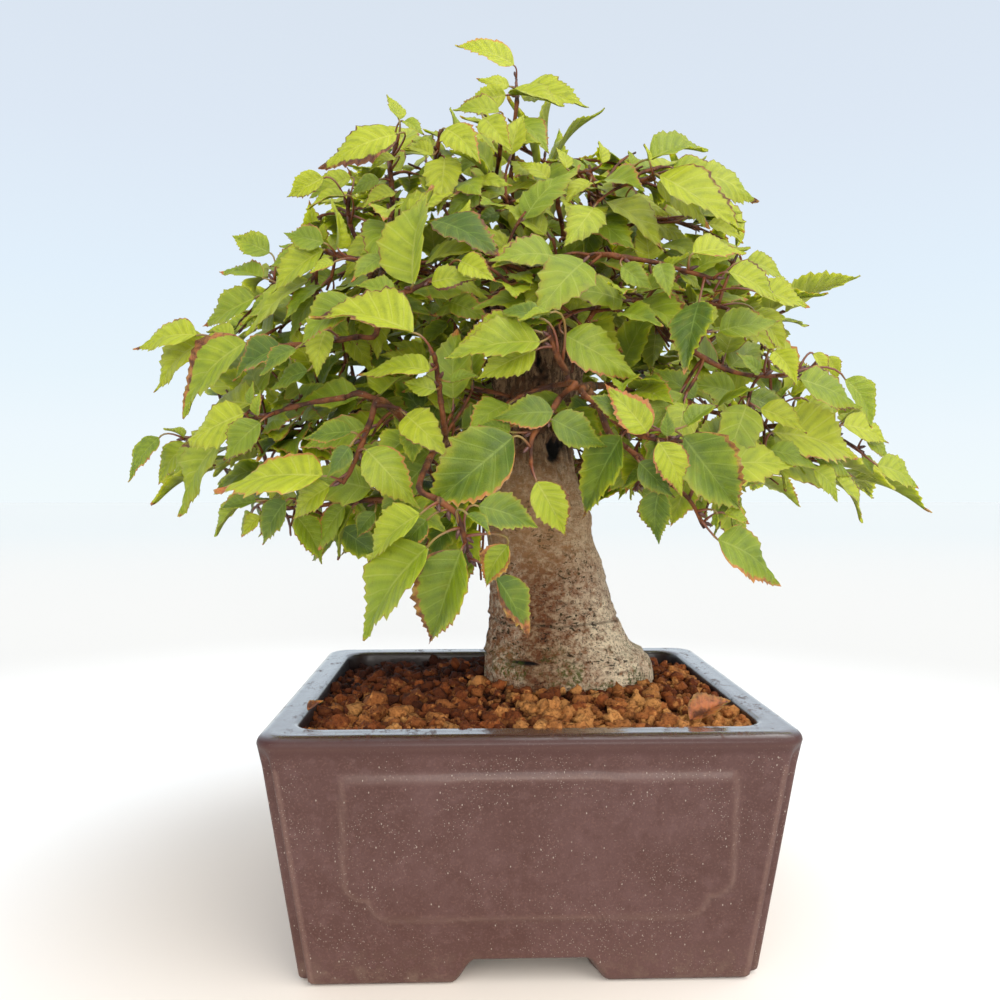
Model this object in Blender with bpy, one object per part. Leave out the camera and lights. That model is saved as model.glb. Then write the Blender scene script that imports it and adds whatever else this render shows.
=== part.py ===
"""Korean hornbeam bonsai: a stout trunk with a dome of leafy shoots, in a footed clay pot.

Lengths are in millimetres until a mesh is made. The working frame has the middle of the pot's
footprint at x = y = 0 and the table at z = 0; +Y runs away from the viewer. At the end all
pieces move together so that the middle of the whole plant's box stands on the origin.
"""

import math
import random

import bmesh
import bpy
from mathutils import Matrix, Vector
from mathutils.bvhtree import BVHTree
from mathutils.kdtree import KDTree

MM = 0.001
GAP = 0.3

# Pot
RIM_HALF_X = 70.8
RIM_HALF_Y = 63.0
RIM_TOP = 69.0
RIM_LIP = 4.2
RIM_CORNER = 5.0
RIM_OVERHANG = 0.4
RIM_WALL = 9.0
RIM_ROUNDING = 2.6
CAVITY_TOP = RIM_TOP - 1.2
BODY_TAPER = 9.5
CORNER_NOTCH = 3.0
FOOT_ROUNDING = 2.4
FOOT_HEIGHT = 7.2
FOOT_WALL = 9.0
FOOT_GAP_HALF_X = 25.0
FOOT_GAP_HALF_Y = 21.0
FOOT_SHOULDER = 8.0
FLOOR_TOP = 14.0
FLOOR_WALL = 7.0
DRAIN_RADIUS = 6.0
DRAIN_SPACING = 56.0
DRAIN_SIDES = 12
PANEL_RELIEF = 1.0
PANEL_TOP = 58.0
PANEL_BOTTOM = 19.0
PANEL_HALF_X = 50.5
PANEL_HALF_Y = 43.0
PANEL_STEP = 5.6
PANEL_OFF_MIDDLE = 2.0
PANEL_ROOT = 2.0
POCKET_CORNER = 4.0
CAVITY_FLARE = 1.0
CUT_PAST = 90.0

# Soil
SOIL_LEVEL = 66.4
SOIL_MOUND = 4.6
SOIL_MOUND_REACH = 46.0
GRAIN_PITCH = 5.1
GRAIN_PEAK = 1.5
GRAIN_DIP = 0.9
GRAIN_SHIFT = 0.5
SOIL_BLOCK_TOP = 80.0
SOIL_SEED = 7
TRUNK_ROOM = 0.4

# Trunk: height, middle x, middle y, half width along x, half width along y, bark lumps
TRUNK_RINGS = (
    (46.0, 17.3, 11.0, 28.4, 26.0, 0.00),
    (73.4, 17.3, 11.0, 28.4, 26.0, 0.00),
    (81.0, 14.8, 11.0, 24.6, 23.2, 0.03),
    (88.5, 12.7, 11.0, 22.2, 21.2, 0.04),
    (97.0, 11.3, 11.0, 20.4, 19.8, 0.04),
    (108.0, 9.7, 11.0, 19.2, 18.4, 0.04),
    (116.0, 7.8, 11.0, 18.0, 17.4, 0.05),
    (124.0, 6.4, 11.0, 18.2, 17.2, 0.07),
    (134.0, 5.4, 11.2, 16.0, 15.4, 0.07),
    (147.0, 5.2, 11.6, 14.4, 14.0, 0.08),
    (160.0, 6.2, 12.0, 13.6, 13.4, 0.10),
    (172.0, 6.8, 12.0, 14.8, 14.2, 0.14),
    (183.0, 6.4, 12.0, 15.8, 15.2, 0.16),
    (193.0, 6.0, 12.0, 14.6, 14.2, 0.16),
    (201.0, 6.0, 12.0, 9.0, 9.0, 0.12),
)
TRUNK_SIDES = 16
TRUNK_SEED = 11
LUMP_LIFT = 12.0

# Crown: a dome of leaves
CROWN_MIDDLE = Vector((4.0, 9.0, 140.0))
CROWN_REACH = Vector((114.0, 98.0, 118.0))
CROWN_DROP = 44.0

# Twigs and leaves
TWIG_RADIUS = 1.15
TWIG_TIP_RADIUS = 0.7
TWIG_SIDES = 4
TWIG_BENDS = 3
LONG_TWIG = 30.0
TWIG_DEPTH_AT_ROOT = 15.0
TWIG_DEPTH_AT_TIP = 7.0
BRANCH_SIDES = 5
BRANCH_GROWTH = 0.44
BRANCH_CLEARANCE = 3.0
BRANCH_END = 5.0
BRANCH_ARCH = 0.06
SHORT_BRANCH = 36.0
LOWEST_BRANCH = 120.0

# What a branch's way costs, in millimetres: the way back to the trunk, falling, running beside
# its parent, and a fork that another branch has taken
REACH_COST = 0.42
FALL_COST = 0.5
PARALLEL_FROM = 0.75
PARALLEL_COST = 70.0
USED_COST = 10.0

LEAF_LONGEST = 30.0
LEAF_SHAPE = 0.58
LEAF_MIDRIB = 1.3
LEAF_FOLD = 0.16
LEAF_ARCH = 0.07
PETIOLE_HALF = 0.9
PETIOLE_SUNK = 0.25
ROOT_SPACING = 2.0
LEAF_CLEARANCE = 0.32
LARGE_OUTLINE = ((0.10, 0.66), (0.36, 1.04), (0.43, 0.88), (0.66, 0.74), (0.72, 0.52))
SMALL_OUTLINE = ((0.12, 0.70), (0.42, 1.04), (0.50, 0.84), (0.74, 0.58))
LARGE_LEAF = 21.0
PETIOLE_PAIRS = 8
ROOT_CHOICES = 4
ROOT_BEHIND = -0.25

# How each piece was seen: the eye's place, and the frame's scale and level point
EYE = Vector((-15.0, -286.0, 131.6))
EYE_COLUMN = 472.0
EYE_ROW = 490.0
EYE_FOCUS = 881.0

# A leaf's turn about its own length, in degrees, where it isn't given as a number: seen on its
# face, slanting or nearly edge-on
TURN = {"face": 18.0, "slant": 48.0, "edge": 70.0}


def shoot(path, leaves, forward=0.0, depth=TWIG_DEPTH_AT_ROOT):
    """A twig: the points it passes, its leaves, how far it stands out of the dome, and how far
    its root lies behind its tip.

    Points are columns and rows of the 1000 x 1000 frame in which the plant was seen. A leaf is
    its base, its tip and its turn.
    """
    return {"path": path, "leaves": leaves, "forward": forward, "depth": depth}


SHOOTS = {
    "top": shoot([(512, 168), (514, 130), (517, 100), (516, 80)], [
        (514, 67, 455, 49, 56), (523, 90, 589, 108, 50), (510, 95, 564, 110, "edge"),
        (506, 97, 463, 103, "face"), (509, 88, 476, 82, "slant"), (517, 122, 549, 155, "slant"),
    ], depth=52),
    "crown": shoot([(496, 175), (500, 145), (492, 122)], [
        (499, 113, 453, 113, "slant"), (484, 120, 512, 152, "face"), (506, 142, 541, 144, "slant"),
        (488, 158, 455, 178, "slant"),
    ], forward=-12, depth=34),
    "crown_left": shoot([(440, 190), (437, 160), (441, 132)], [
        (446, 131, 481, 165, "face"), (433, 157, 405, 148, "slant"), (455, 130, 450, 110, "edge"),
        (445, 160, 437, 214, "face"), (431, 150, 412, 143, "slant"),
    ], depth=36),
    "left_top": shoot([(393, 200), (391, 168), (398, 146)], [
        (400, 122, 388, 97, "slant"), (405, 124, 425, 137, "slant"), (397, 137, 319, 170, 48),
        (395, 160, 370, 172, "slant"), (380, 182, 350, 197, 40), (396, 195, 364, 211, 44),
    ], depth=30),
    "left_mid_top": shoot([(362, 250), (350, 222), (350, 200)], [
        (352, 180, 312, 202, "slant"), (325, 181, 290, 201, 30), (345, 198, 307, 211, "edge"),
        (372, 212, 333, 228, 40), (375, 238, 343, 281, 36),
    ], forward=-16, depth=24),
    "left_upper": shoot([(372, 264), (340, 258), (318, 250)], [
        (325, 252, 272, 297, 47), (307, 257, 271, 269, "slant"), (325, 245, 286, 236, "face"),
        (339, 250, 336, 200, "edge"), (335, 264, 311, 275, "slant"), (383, 258, 352, 285, 40),
    ]),
    "left_outer_up": shoot([(335, 300), (303, 296), (272, 283)], [
        (272, 255, 236, 240, 20), (265, 280, 222, 273, 58), (257, 300, 207, 329, 46),
        (278, 299, 252, 319, "slant"), (330, 281, 302, 297, "slant"), (297, 303, 242, 327, "edge"),
        (299, 256, 281, 247, "slant"),
    ], forward=-20),
    "left_arm": shoot([(358, 338), (325, 343), (285, 347), (222, 344)], [
        (200, 337, 140, 354, 58), (211, 341, 158, 394, 54), (248, 344, 181, 422, 56),
        (285, 350, 233, 381, "slant"), (297, 350, 262, 377, "slant"), (236, 340, 209, 332, "slant"),
        (327, 332, 318, 378, "face"), (309, 372, 271, 390, "slant"),
    ]),
    "front_left_upper": shoot([(448, 275), (420, 287), (390, 299), (362, 306)], [
        (413, 285, 432, 167, 52), (432, 283, 476, 280, "face"), (395, 296, 357, 288, "slant"),
        (356, 304, 300, 347, 40), (461, 262, 497, 283, "face"),
    ], forward=4),
    "front_left_mid": shoot([(441, 402), (437, 372), (434, 353)], [
        (413, 333, 311, 321, 58), (430, 371, 357, 375, 62), (436, 390, 403, 383, "face"),
        (417, 318, 447, 368, 30), (450, 382, 480, 376, "slant"),
    ], forward=6),
    "left_low_arm": shoot([(345, 398), (305, 405), (265, 417), (238, 423)], [
        (375, 359, 308, 420, "edge"), (253, 405, 256, 382, "slant"), (259, 416, 262, 391, "slant"),
        (246, 414, 183, 446, 40), (262, 423, 225, 461, 20), (391, 396, 345, 384, "face"),
    ], forward=3),
    "left_tip": shoot([(240, 432), (215, 434), (188, 440)], [
        (163, 438, 134, 483, 54), (190, 445, 163, 485, "slant"), (200, 446, 176, 478, "slant"),
        (188, 437, 167, 430, "edge"), (228, 436, 174, 538, 58),
    ], forward=-14),
    "left_low": shoot([(372, 418), (362, 445), (352, 470), (343, 484)], [
        (323, 476, 203, 493, 59), (367, 450, 421, 508, 18), (331, 486, 291, 519, 30),
        (352, 432, 306, 440, "slant"), (350, 447, 327, 478, "face"), (300, 450, 248, 463, "slant"),
    ], forward=8),
    "left_bottom": shoot([(392, 500), (352, 501), (310, 507), (272, 508)], [
        (243, 503, 218, 537, "edge"), (258, 501, 222, 509, "slant"), (262, 516, 244, 537, 38),
        (287, 501, 262, 545, 40), (298, 516, 323, 564, 28), (345, 506, 318, 550, "slant"),
        (375, 512, 357, 538, "face"), (352, 508, 338, 560, "edge"),
    ], forward=-10),
    "front_low": shoot([(438, 500), (455, 513), (463, 532), (470, 562)], [
        (420, 514, 366, 563, "slant"), (427, 520, 402, 553, "face"), (427, 547, 367, 641, 47),
        (461, 550, 429, 644, 30), (508, 545, 485, 588, "face"), (497, 578, 526, 640, "slant"),
        (479, 506, 539, 528, "face"), (468, 514, 491, 534, "slant"),
    ], forward=26),
    "front_middle": shoot([(560, 398), (547, 418), (532, 438), (531, 466)], [
        (513, 437, 424, 509, 12), (537, 482, 565, 535, 12), (553, 412, 492, 418, "face"),
        (552, 419, 609, 446, "face"), (510, 432, 478, 424, "slant"),
    ], forward=10),
    "front_high": shoot([(566, 372), (556, 352), (548, 326)], [
        (540, 342, 445, 360, "slant"), (535, 350, 476, 379, "face"), (540, 318, 497, 310, "slant"),
        (550, 312, 518, 322, "edge"), (528, 331, 452, 345, "face"),
    ], forward=8),
    "front_upper": shoot([(505, 300), (478, 297), (455, 300)], [
        (450, 302, 492, 322, "face"), (443, 309, 452, 300, "slant"), (470, 290, 440, 262, "slant"),
    ], forward=-26),
    "front_right": shoot([(602, 300), (590, 318), (577, 340), (572, 372)], [
        (565, 335, 643, 378, 32), (568, 322, 601, 316, "slant"), (570, 392, 592, 383, "slant"),
        (596, 300, 560, 285, "slant"),
    ], forward=-8),
    "right_middle": shoot([(598, 405), (625, 427), (652, 438), (684, 441)], [
        (648, 432, 606, 382, "face"), (668, 436, 668, 409, "face"), (660, 442, 683, 497, "face"),
        (684, 436, 743, 510, "face"), (622, 436, 582, 520, 44), (630, 415, 588, 395, "face"),
        (688, 425, 720, 402, "slant"),
    ], forward=8),
    "right_low": shoot([(628, 448), (660, 474), (690, 499), (706, 528)], [
        (640, 462, 676, 498, "face"), (660, 490, 660, 545, "face"), (643, 470, 622, 489, "slant"),
        (720, 540, 784, 588, 43), (727, 513, 751, 525, "slant"), (719, 514, 717, 531, "slant"),
    ], forward=4),
    "right_upper": shoot([(622, 257), (652, 261), (683, 269), (716, 278)], [
        (700, 301, 684, 373, 33), (694, 252, 748, 252, 56), (661, 263, 672, 297, "face"),
        (680, 272, 704, 290, "slant"), (622, 266, 655, 290, "face"), (730, 271, 784, 299, 50),
    ], forward=4),
    "right_shoulder": shoot([(690, 302), (715, 304), (740, 312)], [
        (729, 313, 778, 352, "slant"), (757, 310, 787, 352, 40), (747, 262, 788, 278, "slant"),
        (758, 290, 812, 307, "slant"), (760, 300, 809, 319, "edge"),
    ], forward=-14),
    "right_top": shoot([(612, 185), (635, 180), (655, 178)], [
        (652, 158, 710, 146, 60), (650, 160, 645, 143, "edge"), (660, 175, 745, 232, 53),
        (658, 182, 712, 227, "slant"), (700, 172, 763, 198, 52), (632, 168, 628, 151, "slant"),
        (628, 200, 672, 214, "slant"),
    ], depth=36),
    "right_high": shoot([(610, 232), (640, 222), (668, 218)], [
        (640, 215, 690, 243, "slant"), (710, 222, 745, 242, "slant"), (645, 228, 628, 246, "face"),
        (615, 212, 645, 188, "slant"), (688, 215, 716, 184, "slant"),
    ], forward=-22, depth=30),
    "top_right": shoot([(562, 225), (558, 198), (573, 176), (592, 171)], [
        (602, 163, 600, 140, "slant"), (567, 169, 556, 147, "slant"), (548, 180, 517, 160, "slant"),
        (590, 182, 563, 206, "slant"), (545, 194, 527, 178, "edge"),
    ], forward=-14, depth=34),
    "upper_middle": shoot([(530, 235), (516, 215), (505, 202)], [
        (503, 196, 477, 181, "slant"), (516, 201, 560, 218, "edge"), (499, 213, 474, 225, "face"),
        (478, 195, 445, 220, "face"), (537, 236, 565, 218, "slant"),
    ], forward=-26, depth=26),
    "upper_left_middle": shoot([(500, 262), (472, 246), (448, 232)], [
        (436, 222, 503, 262, 48), (452, 232, 426, 224, "slant"), (522, 248, 503, 266, "slant"),
        (462, 226, 470, 200, "slant"),
    ], forward=-12, depth=26),
    "upper_right_middle": shoot([(586, 262), (598, 245), (604, 222)], [
        (600, 240, 567, 225, "face"), (604, 246, 619, 230, "slant"), (588, 254, 566, 276, "face"),
        (604, 212, 600, 186, "edge"),
    ], forward=-34, depth=20),
    "right_arm": shoot([(690, 348), (720, 365), (750, 374), (786, 374), (816, 366)], [
        (762, 372, 738, 352, "slant"), (817, 352, 832, 376, "slant"), (832, 355, 842, 380, 30),
        (850, 378, 877, 428, 52), (803, 378, 867, 407, "slant"), (777, 350, 800, 385, "face"),
    ]),
    "right_mid": shoot([(682, 398), (716, 412), (748, 412), (778, 408)], [
        (722, 416, 768, 447, "face"), (750, 396, 796, 425, 42), (737, 393, 686, 384, "face"),
        (812, 400, 849, 440, "slant"), (782, 398, 798, 382, "edge"),
    ], forward=-24),
    "right_low_arm": shoot([(728, 446), (765, 456), (797, 459), (820, 466)], [
        (776, 432, 862, 459, 35), (773, 450, 823, 468, "slant"), (818, 455, 858, 476, "slant"),
        (818, 469, 845, 502, "slant"), (839, 478, 870, 523, 48), (779, 458, 788, 492, "edge"),
        (742, 453, 762, 480, "face"),
    ], forward=-10),
    "right_tip": shoot([(812, 428), (840, 436), (868, 452)], [
        (848, 424, 894, 443, "slant"), (845, 420, 886, 411, "edge"), (870, 437, 897, 457, "slant"),
        (868, 456, 879, 474, "slant"), (883, 465, 927, 488, 50),
    ], forward=-18),
}

# Shoots of the crown's far half, which follow a rule: rise over the crown's widest level,
# first and last bearing round the trunk, how many, and how near their tips come to the dome
FAR_RINGS = (
    (-6.0, -14.0, 194.0, 7, 0.90),
    (27.0, -2.0, 182.0, 6, 0.80),
    (56.0, 12.0, 168.0, 4, 0.88),
    (78.0, -70.0, 170.0, 3, 0.84),
)
FAR_TWIG_LENGTH = 0.28
FAR_TWIG_SWAY = 9.0
FAR_ANGLE_SPREAD = 5.0
FAR_LEAVES = 6
FAR_SEED = 5

# Sawn stubs and a cut leader that carry no leaves: points with their depth, root and end radius
CUT_BRANCHES = {
    "cut_leader": ([(540, 290, 8), (520, 245, 3), (497, 215, 0), (457, 177, -4)], 3.0, 1.3),
    "sawn_left": ([(560, 300, 8), (530, 285, 0), (492, 275, -6)], 2.4, 1.9),
    "sawn_right": ([(560, 297, 10), (612, 322, 0), (640, 337, -4)], 3.4, 2.8),
}


def seen(column, row, back):
    """The point that shows at a column and row, so far behind the middle of the pot."""
    reach = (back - EYE.y) / EYE_FOCUS
    x = EYE.x + (column - EYE_COLUMN) * reach
    z = EYE.z - (row - EYE_ROW) * reach
    return Vector((x, back, z))


def dome_share(point):
    """1 on the crown's outer face, less inside it."""
    offset = point - CROWN_MIDDLE
    height = CROWN_REACH.z if offset.z > 0.0 else CROWN_DROP
    scaled = Vector((offset.x / CROWN_REACH.x, offset.y / CROWN_REACH.y, offset.z / height))
    return scaled.length


def dome_back(column, row):
    """How far back the crown's near face lies at a column and row."""
    back = CROWN_MIDDLE.y - CROWN_REACH.y
    while back < CROWN_MIDDLE.y:
        if dome_share(seen(column, row, back)) <= 1.0:
            return back
        back += 1.0
    return CROWN_MIDDLE.y


def smooth_path(points, steps):
    """Points along one smooth curve through the given points."""
    ends = [points[0] * 2.0 - points[1]] + list(points) + [points[-1] * 2.0 - points[-2]]
    path = []
    for index in range(len(points) - 1):
        before, start, stop, after = ends[index:index + 4]
        for step in range(steps):
            t = step / steps
            pull = (stop - before) * t
            bend = (before * 2.0 - start * 5.0 + stop * 4.0 - after) * (t * t)
            close = (start * 3.0 - before - stop * 3.0 + after) * (t * t * t)
            path.append(start + (pull + bend + close) * 0.5)
    path.append(points[-1].copy())
    return path


def tube(path, radii, sides):
    """A tapered tube with flat ends: its corners and faces."""
    corners = []
    faces = []
    side = (path[1] - path[0]).orthogonal().normalized()
    for index, place in enumerate(path):
        along = path[min(index + 1, len(path) - 1)] - path[max(index - 1, 0)]
        along.normalize()
        side = (side - along * side.dot(along)).normalized()
        other = along.cross(side)
        for turn in range(sides):
            angle = math.tau * turn / sides
            spoke = side * math.cos(angle) + other * math.sin(angle)
            corners.append(place + spoke * radii[index])
    for ring in range(len(path) - 1):
        for turn in range(sides):
            here = ring * sides + turn
            beside = ring * sides + (turn + 1) % sides
            faces.append((here, beside, beside + sides, here + sides))
    faces.append(tuple(reversed(range(sides))))
    faces.append(tuple(range((len(path) - 1) * sides, len(path) * sides)))
    return corners, faces


def loft(rings):
    """A solid through rings with equal numbers of corners, from the lowest to the highest."""
    count = len(rings[0])
    corners = [corner for ring in rings for corner in ring]
    faces = [tuple(reversed(range(count)))]
    for level in range(len(rings) - 1):
        for index in range(count):
            here = level * count + index
            beside = level * count + (index + 1) % count
            faces.append((here, beside, beside + count, here + count))
    faces.append(tuple(range((len(rings) - 1) * count, len(rings) * count)))
    return corners, faces


def add_solid(name, shape):
    """A mesh object from corners in millimetres and faces."""
    corners, faces = shape
    mesh = bpy.data.meshes.new(name)
    mesh.from_pydata([tuple(Vector(corner) * MM) for corner in corners], [], faces)
    solid = bpy.data.objects.new(name, mesh)
    bpy.context.collection.objects.link(solid)
    return solid


def apply_modifiers(solid):
    """Keep a solid's evaluated mesh as its own."""
    graph = bpy.context.evaluated_depsgraph_get()
    mesh = bpy.data.meshes.new_from_object(solid.evaluated_get(graph))
    solid.modifiers.clear()
    solid.data = mesh


def join(base, tools, operation, solver="EXACT"):
    """One Boolean of a solid with a collection of tools, which are then removed."""
    group = bpy.data.collections.new("tools")
    for tool in tools:
        group.objects.link(tool)
    cut = base.modifiers.new("join", "BOOLEAN")
    cut.operation = operation
    cut.operand_type = "COLLECTION"
    cut.collection = group
    cut.solver = solver
    apply_modifiers(base)
    for tool in tools:
        bpy.data.objects.remove(tool)
    bpy.data.collections.remove(group)


def cut_away(base, tools):
    """Cut each tool out of a solid, one after the other."""
    for tool in tools:
        tool.hide_render = True
        tool.display_type = "WIRE"
        join(base, [tool], "DIFFERENCE")


def triangulate(solid):
    """Split every face into triangles."""
    shape = bmesh.new()
    shape.from_mesh(solid.data)
    bmesh.ops.triangulate(shape, faces=shape.faces)
    shape.to_mesh(solid.data)
    shape.free()


def paint(solid, material_name, colour, roughness):
    """Give a solid its plain material."""
    material = bpy.data.materials.get(material_name) or bpy.data.materials.new(material_name)
    material.use_nodes = True
    shader = material.node_tree.nodes["Principled BSDF"]
    shader.inputs["Base Color"].default_value = (*colour, 1.0)
    shader.inputs["Roughness"].default_value = roughness
    shader.inputs["Metallic"].default_value = 0.0
    solid.data.materials.clear()
    solid.data.materials.append(material)


def rounded_ring(half_x, half_y, radius, height, steps=4):
    """A rectangle with round corners at one height."""
    ring = []
    for quarter, (sign_x, sign_y) in enumerate(((1, 1), (-1, 1), (-1, -1), (1, -1))):
        middle_x = sign_x * (half_x - radius)
        middle_y = sign_y * (half_y - radius)
        for step in range(steps + 1):
            angle = math.pi / 2.0 * (quarter + step / steps)
            x = middle_x + radius * math.cos(angle)
            y = middle_y + radius * math.sin(angle)
            ring.append((x, y, height))
    return ring


def notched_ring(half_x, half_y, notch, height):
    """A rectangle whose corners step in by a square notch."""
    ring = []
    for sign_x, sign_y in ((1, -1), (1, 1), (-1, 1), (-1, -1)):
        outer_x = (sign_x * half_x, sign_y * (half_y - notch), height)
        inner = (sign_x * (half_x - notch), sign_y * (half_y - notch), height)
        outer_y = (sign_x * (half_x - notch), sign_y * half_y, height)
        ring.extend((outer_y, inner, outer_x) if sign_x * sign_y < 0 else (outer_x, inner, outer_y))
    return ring


def body_half(top_half, height):
    """Half the body's width at a height, from the same half at the rim."""
    return top_half - RIM_OVERHANG - BODY_TAPER * (1.0 - height / RIM_TOP)


def pot_body():
    """The tapered walls down to the feet, still solid."""
    rings = []
    levels = ((0.0, FOOT_ROUNDING), (FOOT_ROUNDING * 0.35, FOOT_ROUNDING * 0.3),
              (FOOT_ROUNDING, 0.0), (RIM_TOP - RIM_LIP + 0.5, 0.0))
    for height, inset in levels:
        half_x = body_half(RIM_HALF_X, height) - inset
        half_y = body_half(RIM_HALF_Y, height) - inset
        rings.append(notched_ring(half_x, half_y, CORNER_NOTCH, height))
    return add_solid("pot", loft(rings))


def pot_rim():
    """The lip round the top: nearly flush with the walls, with a soft shoulder."""
    rings = []
    low = RIM_TOP - RIM_LIP
    levels = ((low, RIM_OVERHANG), (RIM_TOP - RIM_ROUNDING, 0.0),
              (RIM_TOP - 0.5 * RIM_ROUNDING, 0.14 * RIM_ROUNDING),
              (RIM_TOP - 0.14 * RIM_ROUNDING, 0.5 * RIM_ROUNDING), (RIM_TOP, RIM_ROUNDING))
    for height, inset in levels:
        rings.append(rounded_ring(RIM_HALF_X - inset, RIM_HALF_Y - inset, RIM_CORNER, height))
    return add_solid("rim", loft(rings))


def panel_outline(half):
    """A panel with plain top corners and stepped, rounded bottom corners."""
    step = PANEL_STEP
    side = [(half, PANEL_TOP), (half, PANEL_BOTTOM + 2.0 * step)]
    side += [(half - 0.3 * step, PANEL_BOTTOM + 1.25 * step), (half - step, PANEL_BOTTOM + step)]
    side += [(half - 1.3 * step, PANEL_BOTTOM + 0.45 * step), (half - 2.2 * step, PANEL_BOTTOM)]
    return side + [(-x, z) for x, z in reversed(side)]


def pot_panel(name, half, wall_half, quarter_turns):
    """A raised panel that lies along one sloping wall."""
    rings = []
    for proud in (-PANEL_ROOT, PANEL_RELIEF):
        ring = []
        for x, z in panel_outline(half):
            ring.append((x + PANEL_OFF_MIDDLE, -body_half(wall_half, z) - proud, z))
        rings.append(ring)
    panel = add_solid(name, loft(rings))
    panel.data.transform(Matrix.Rotation(math.pi / 2.0 * quarter_turns, 4, "Z"))
    return panel


def gap_profile(half):
    """Half widths and heights of the arched gap between two feet."""
    steps = ((0.0, 0.0), (0.12, 0.10), (0.4, 0.42), (0.68, 0.82), (1.0, 1.0))
    side = [(half + 1.0, -1.0)]
    side += [(half - FOOT_SHOULDER * x, FOOT_HEIGHT * z) for x, z in steps]
    return side + [(-x, z) for x, z in reversed(side)]


def foot_gap(name, half, quarter_turns):
    """The tool that opens the gap between the feet on two opposite sides."""
    rings = []
    for reach in (CUT_PAST, -CUT_PAST):
        rings.append([(x, reach, z) for x, z in gap_profile(half)])
    tool = add_solid(name, loft(rings))
    tool.data.transform(Matrix.Rotation(math.pi / 2.0 * quarter_turns, 4, "Z"))
    return tool


def pot_cavity():
    """The tool that hollows the pot."""
    floor_x = body_half(RIM_HALF_X, FLOOR_TOP) - FLOOR_WALL
    floor_y = body_half(RIM_HALF_Y, FLOOR_TOP) - FLOOR_WALL
    top_x = RIM_HALF_X - RIM_WALL
    top_y = RIM_HALF_Y - RIM_WALL
    wide_x = top_x + CAVITY_FLARE
    wide_y = top_y + CAVITY_FLARE
    rings = [
        rounded_ring(floor_x, floor_y, RIM_CORNER, FLOOR_TOP),
        rounded_ring(top_x, top_y, RIM_CORNER, CAVITY_TOP),
        rounded_ring(wide_x, wide_y, RIM_CORNER, RIM_TOP + 0.2),
        rounded_ring(wide_x, wide_y, RIM_CORNER, CUT_PAST),
    ]
    return add_solid("cavity", loft(rings))


def pot_tools():
    """Everything that is cut out of the pot."""
    pocket_x = body_half(RIM_HALF_X, 0.0) - FOOT_WALL
    pocket_y = body_half(RIM_HALF_Y, 0.0) - FOOT_WALL
    levels = (FOOT_HEIGHT - CUT_PAST, FOOT_HEIGHT)
    pocket = loft([rounded_ring(pocket_x, pocket_y, POCKET_CORNER, height) for height in levels])
    tools = [pot_cavity(), add_solid("pocket", pocket)]
    tools.append(foot_gap("front_gap", FOOT_GAP_HALF_X, 0))
    tools.append(foot_gap("side_gap", FOOT_GAP_HALF_Y, 1))
    for side in (-0.5, 0.5):
        axis = [Vector((side * DRAIN_SPACING, 0.0, height)) for height in (FLOOR_TOP + 3.0, 2.0)]
        tools.append(add_solid("drain", tube(axis, (DRAIN_RADIUS, DRAIN_RADIUS), DRAIN_SIDES)))
    return tools


def build_pot():
    """The clay pot, with its lip, four raised panels and four corner feet."""
    pot = pot_body()
    parts = [pot_rim()]
    for turns in (0, 2):
        parts.append(pot_panel("panel", PANEL_HALF_X, RIM_HALF_Y, turns))
    for turns in (1, 3):
        parts.append(pot_panel("panel", PANEL_HALF_Y, RIM_HALF_X, turns))
    join(pot, parts, "UNION")
    cut_away(pot, pot_tools())
    paint(pot, "pot_clay", (0.165, 0.082, 0.070), 0.42)
    return pot


def soil_height(x, y):
    """The soil's level without its grains: a low mound round the trunk."""
    trunk = TRUNK_RINGS[0]
    away = math.hypot(x - trunk[1], y - trunk[2])
    return SOIL_LEVEL + SOIL_MOUND * math.exp(-((away / SOIL_MOUND_REACH) ** 2))


def soil_relief():
    """A slab whose top is a lattice of six-sided grains."""
    draw = random.Random(SOIL_SEED)
    row_pitch = GRAIN_PITCH * math.sqrt(0.75)
    rows = int(RIM_HALF_Y / row_pitch) + 1
    columns = int(RIM_HALF_X / GRAIN_PITCH) + 1
    top = []
    for row in range(-rows, rows + 1):
        for column in range(-columns, columns + 1):
            x = (column + 0.5 * (row % 2)) * GRAIN_PITCH + draw.uniform(-GRAIN_SHIFT, GRAIN_SHIFT)
            y = row * row_pitch + draw.uniform(-GRAIN_SHIFT, GRAIN_SHIFT)
            peak = (column - row // 2 + 2 * row) % 3 == 0
            lift = GRAIN_PEAK * draw.uniform(0.4, 1.0) if peak else -GRAIN_DIP * draw.uniform(0.5, 1.0)
            top.append((x, y, soil_height(x, y) + lift))
    return top, 2 * rows + 1, 2 * columns + 1


def lattice_solid(top, rows, columns, bottom):
    """A closed slab under a lattice of points, with the lattice's staggered triangles."""
    base = [(x, y, bottom) for x, y, z in top]
    count = len(top)
    faces = []
    for row in range(rows - 1):
        for column in range(columns - 1):
            a = row * columns + column
            b = a + 1
            c = a + columns
            d = c + 1
            even = (row - (rows - 1) // 2) % 2 == 0
            faces.extend(((a, b, c), (b, d, c)) if even else ((a, b, d), (a, d, c)))
    faces += [tuple(index + count for index in reversed(face)) for face in faces]
    rim = list(range(columns))
    rim += [row * columns + columns - 1 for row in range(1, rows)]
    rim += [(rows - 1) * columns + column for column in range(columns - 2, -1, -1)]
    rim += [row * columns for row in range(rows - 2, 0, -1)]
    for index, here in enumerate(rim):
        beside = rim[(index + 1) % len(rim)]
        faces.append((here, here + count, beside + count, beside))
    return top + base, faces


def trunk_outline(ring, grow=0.0):
    """One plain ellipse of the trunk, as corners."""
    height, middle_x, middle_y, half_x, half_y, lumps = ring
    corners = []
    for turn in range(TRUNK_SIDES):
        angle = math.tau * turn / TRUNK_SIDES
        x = middle_x + (half_x + grow) * math.cos(angle)
        y = middle_y + (half_y + grow) * math.sin(angle)
        corners.append((x, y, height))
    return corners


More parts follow.
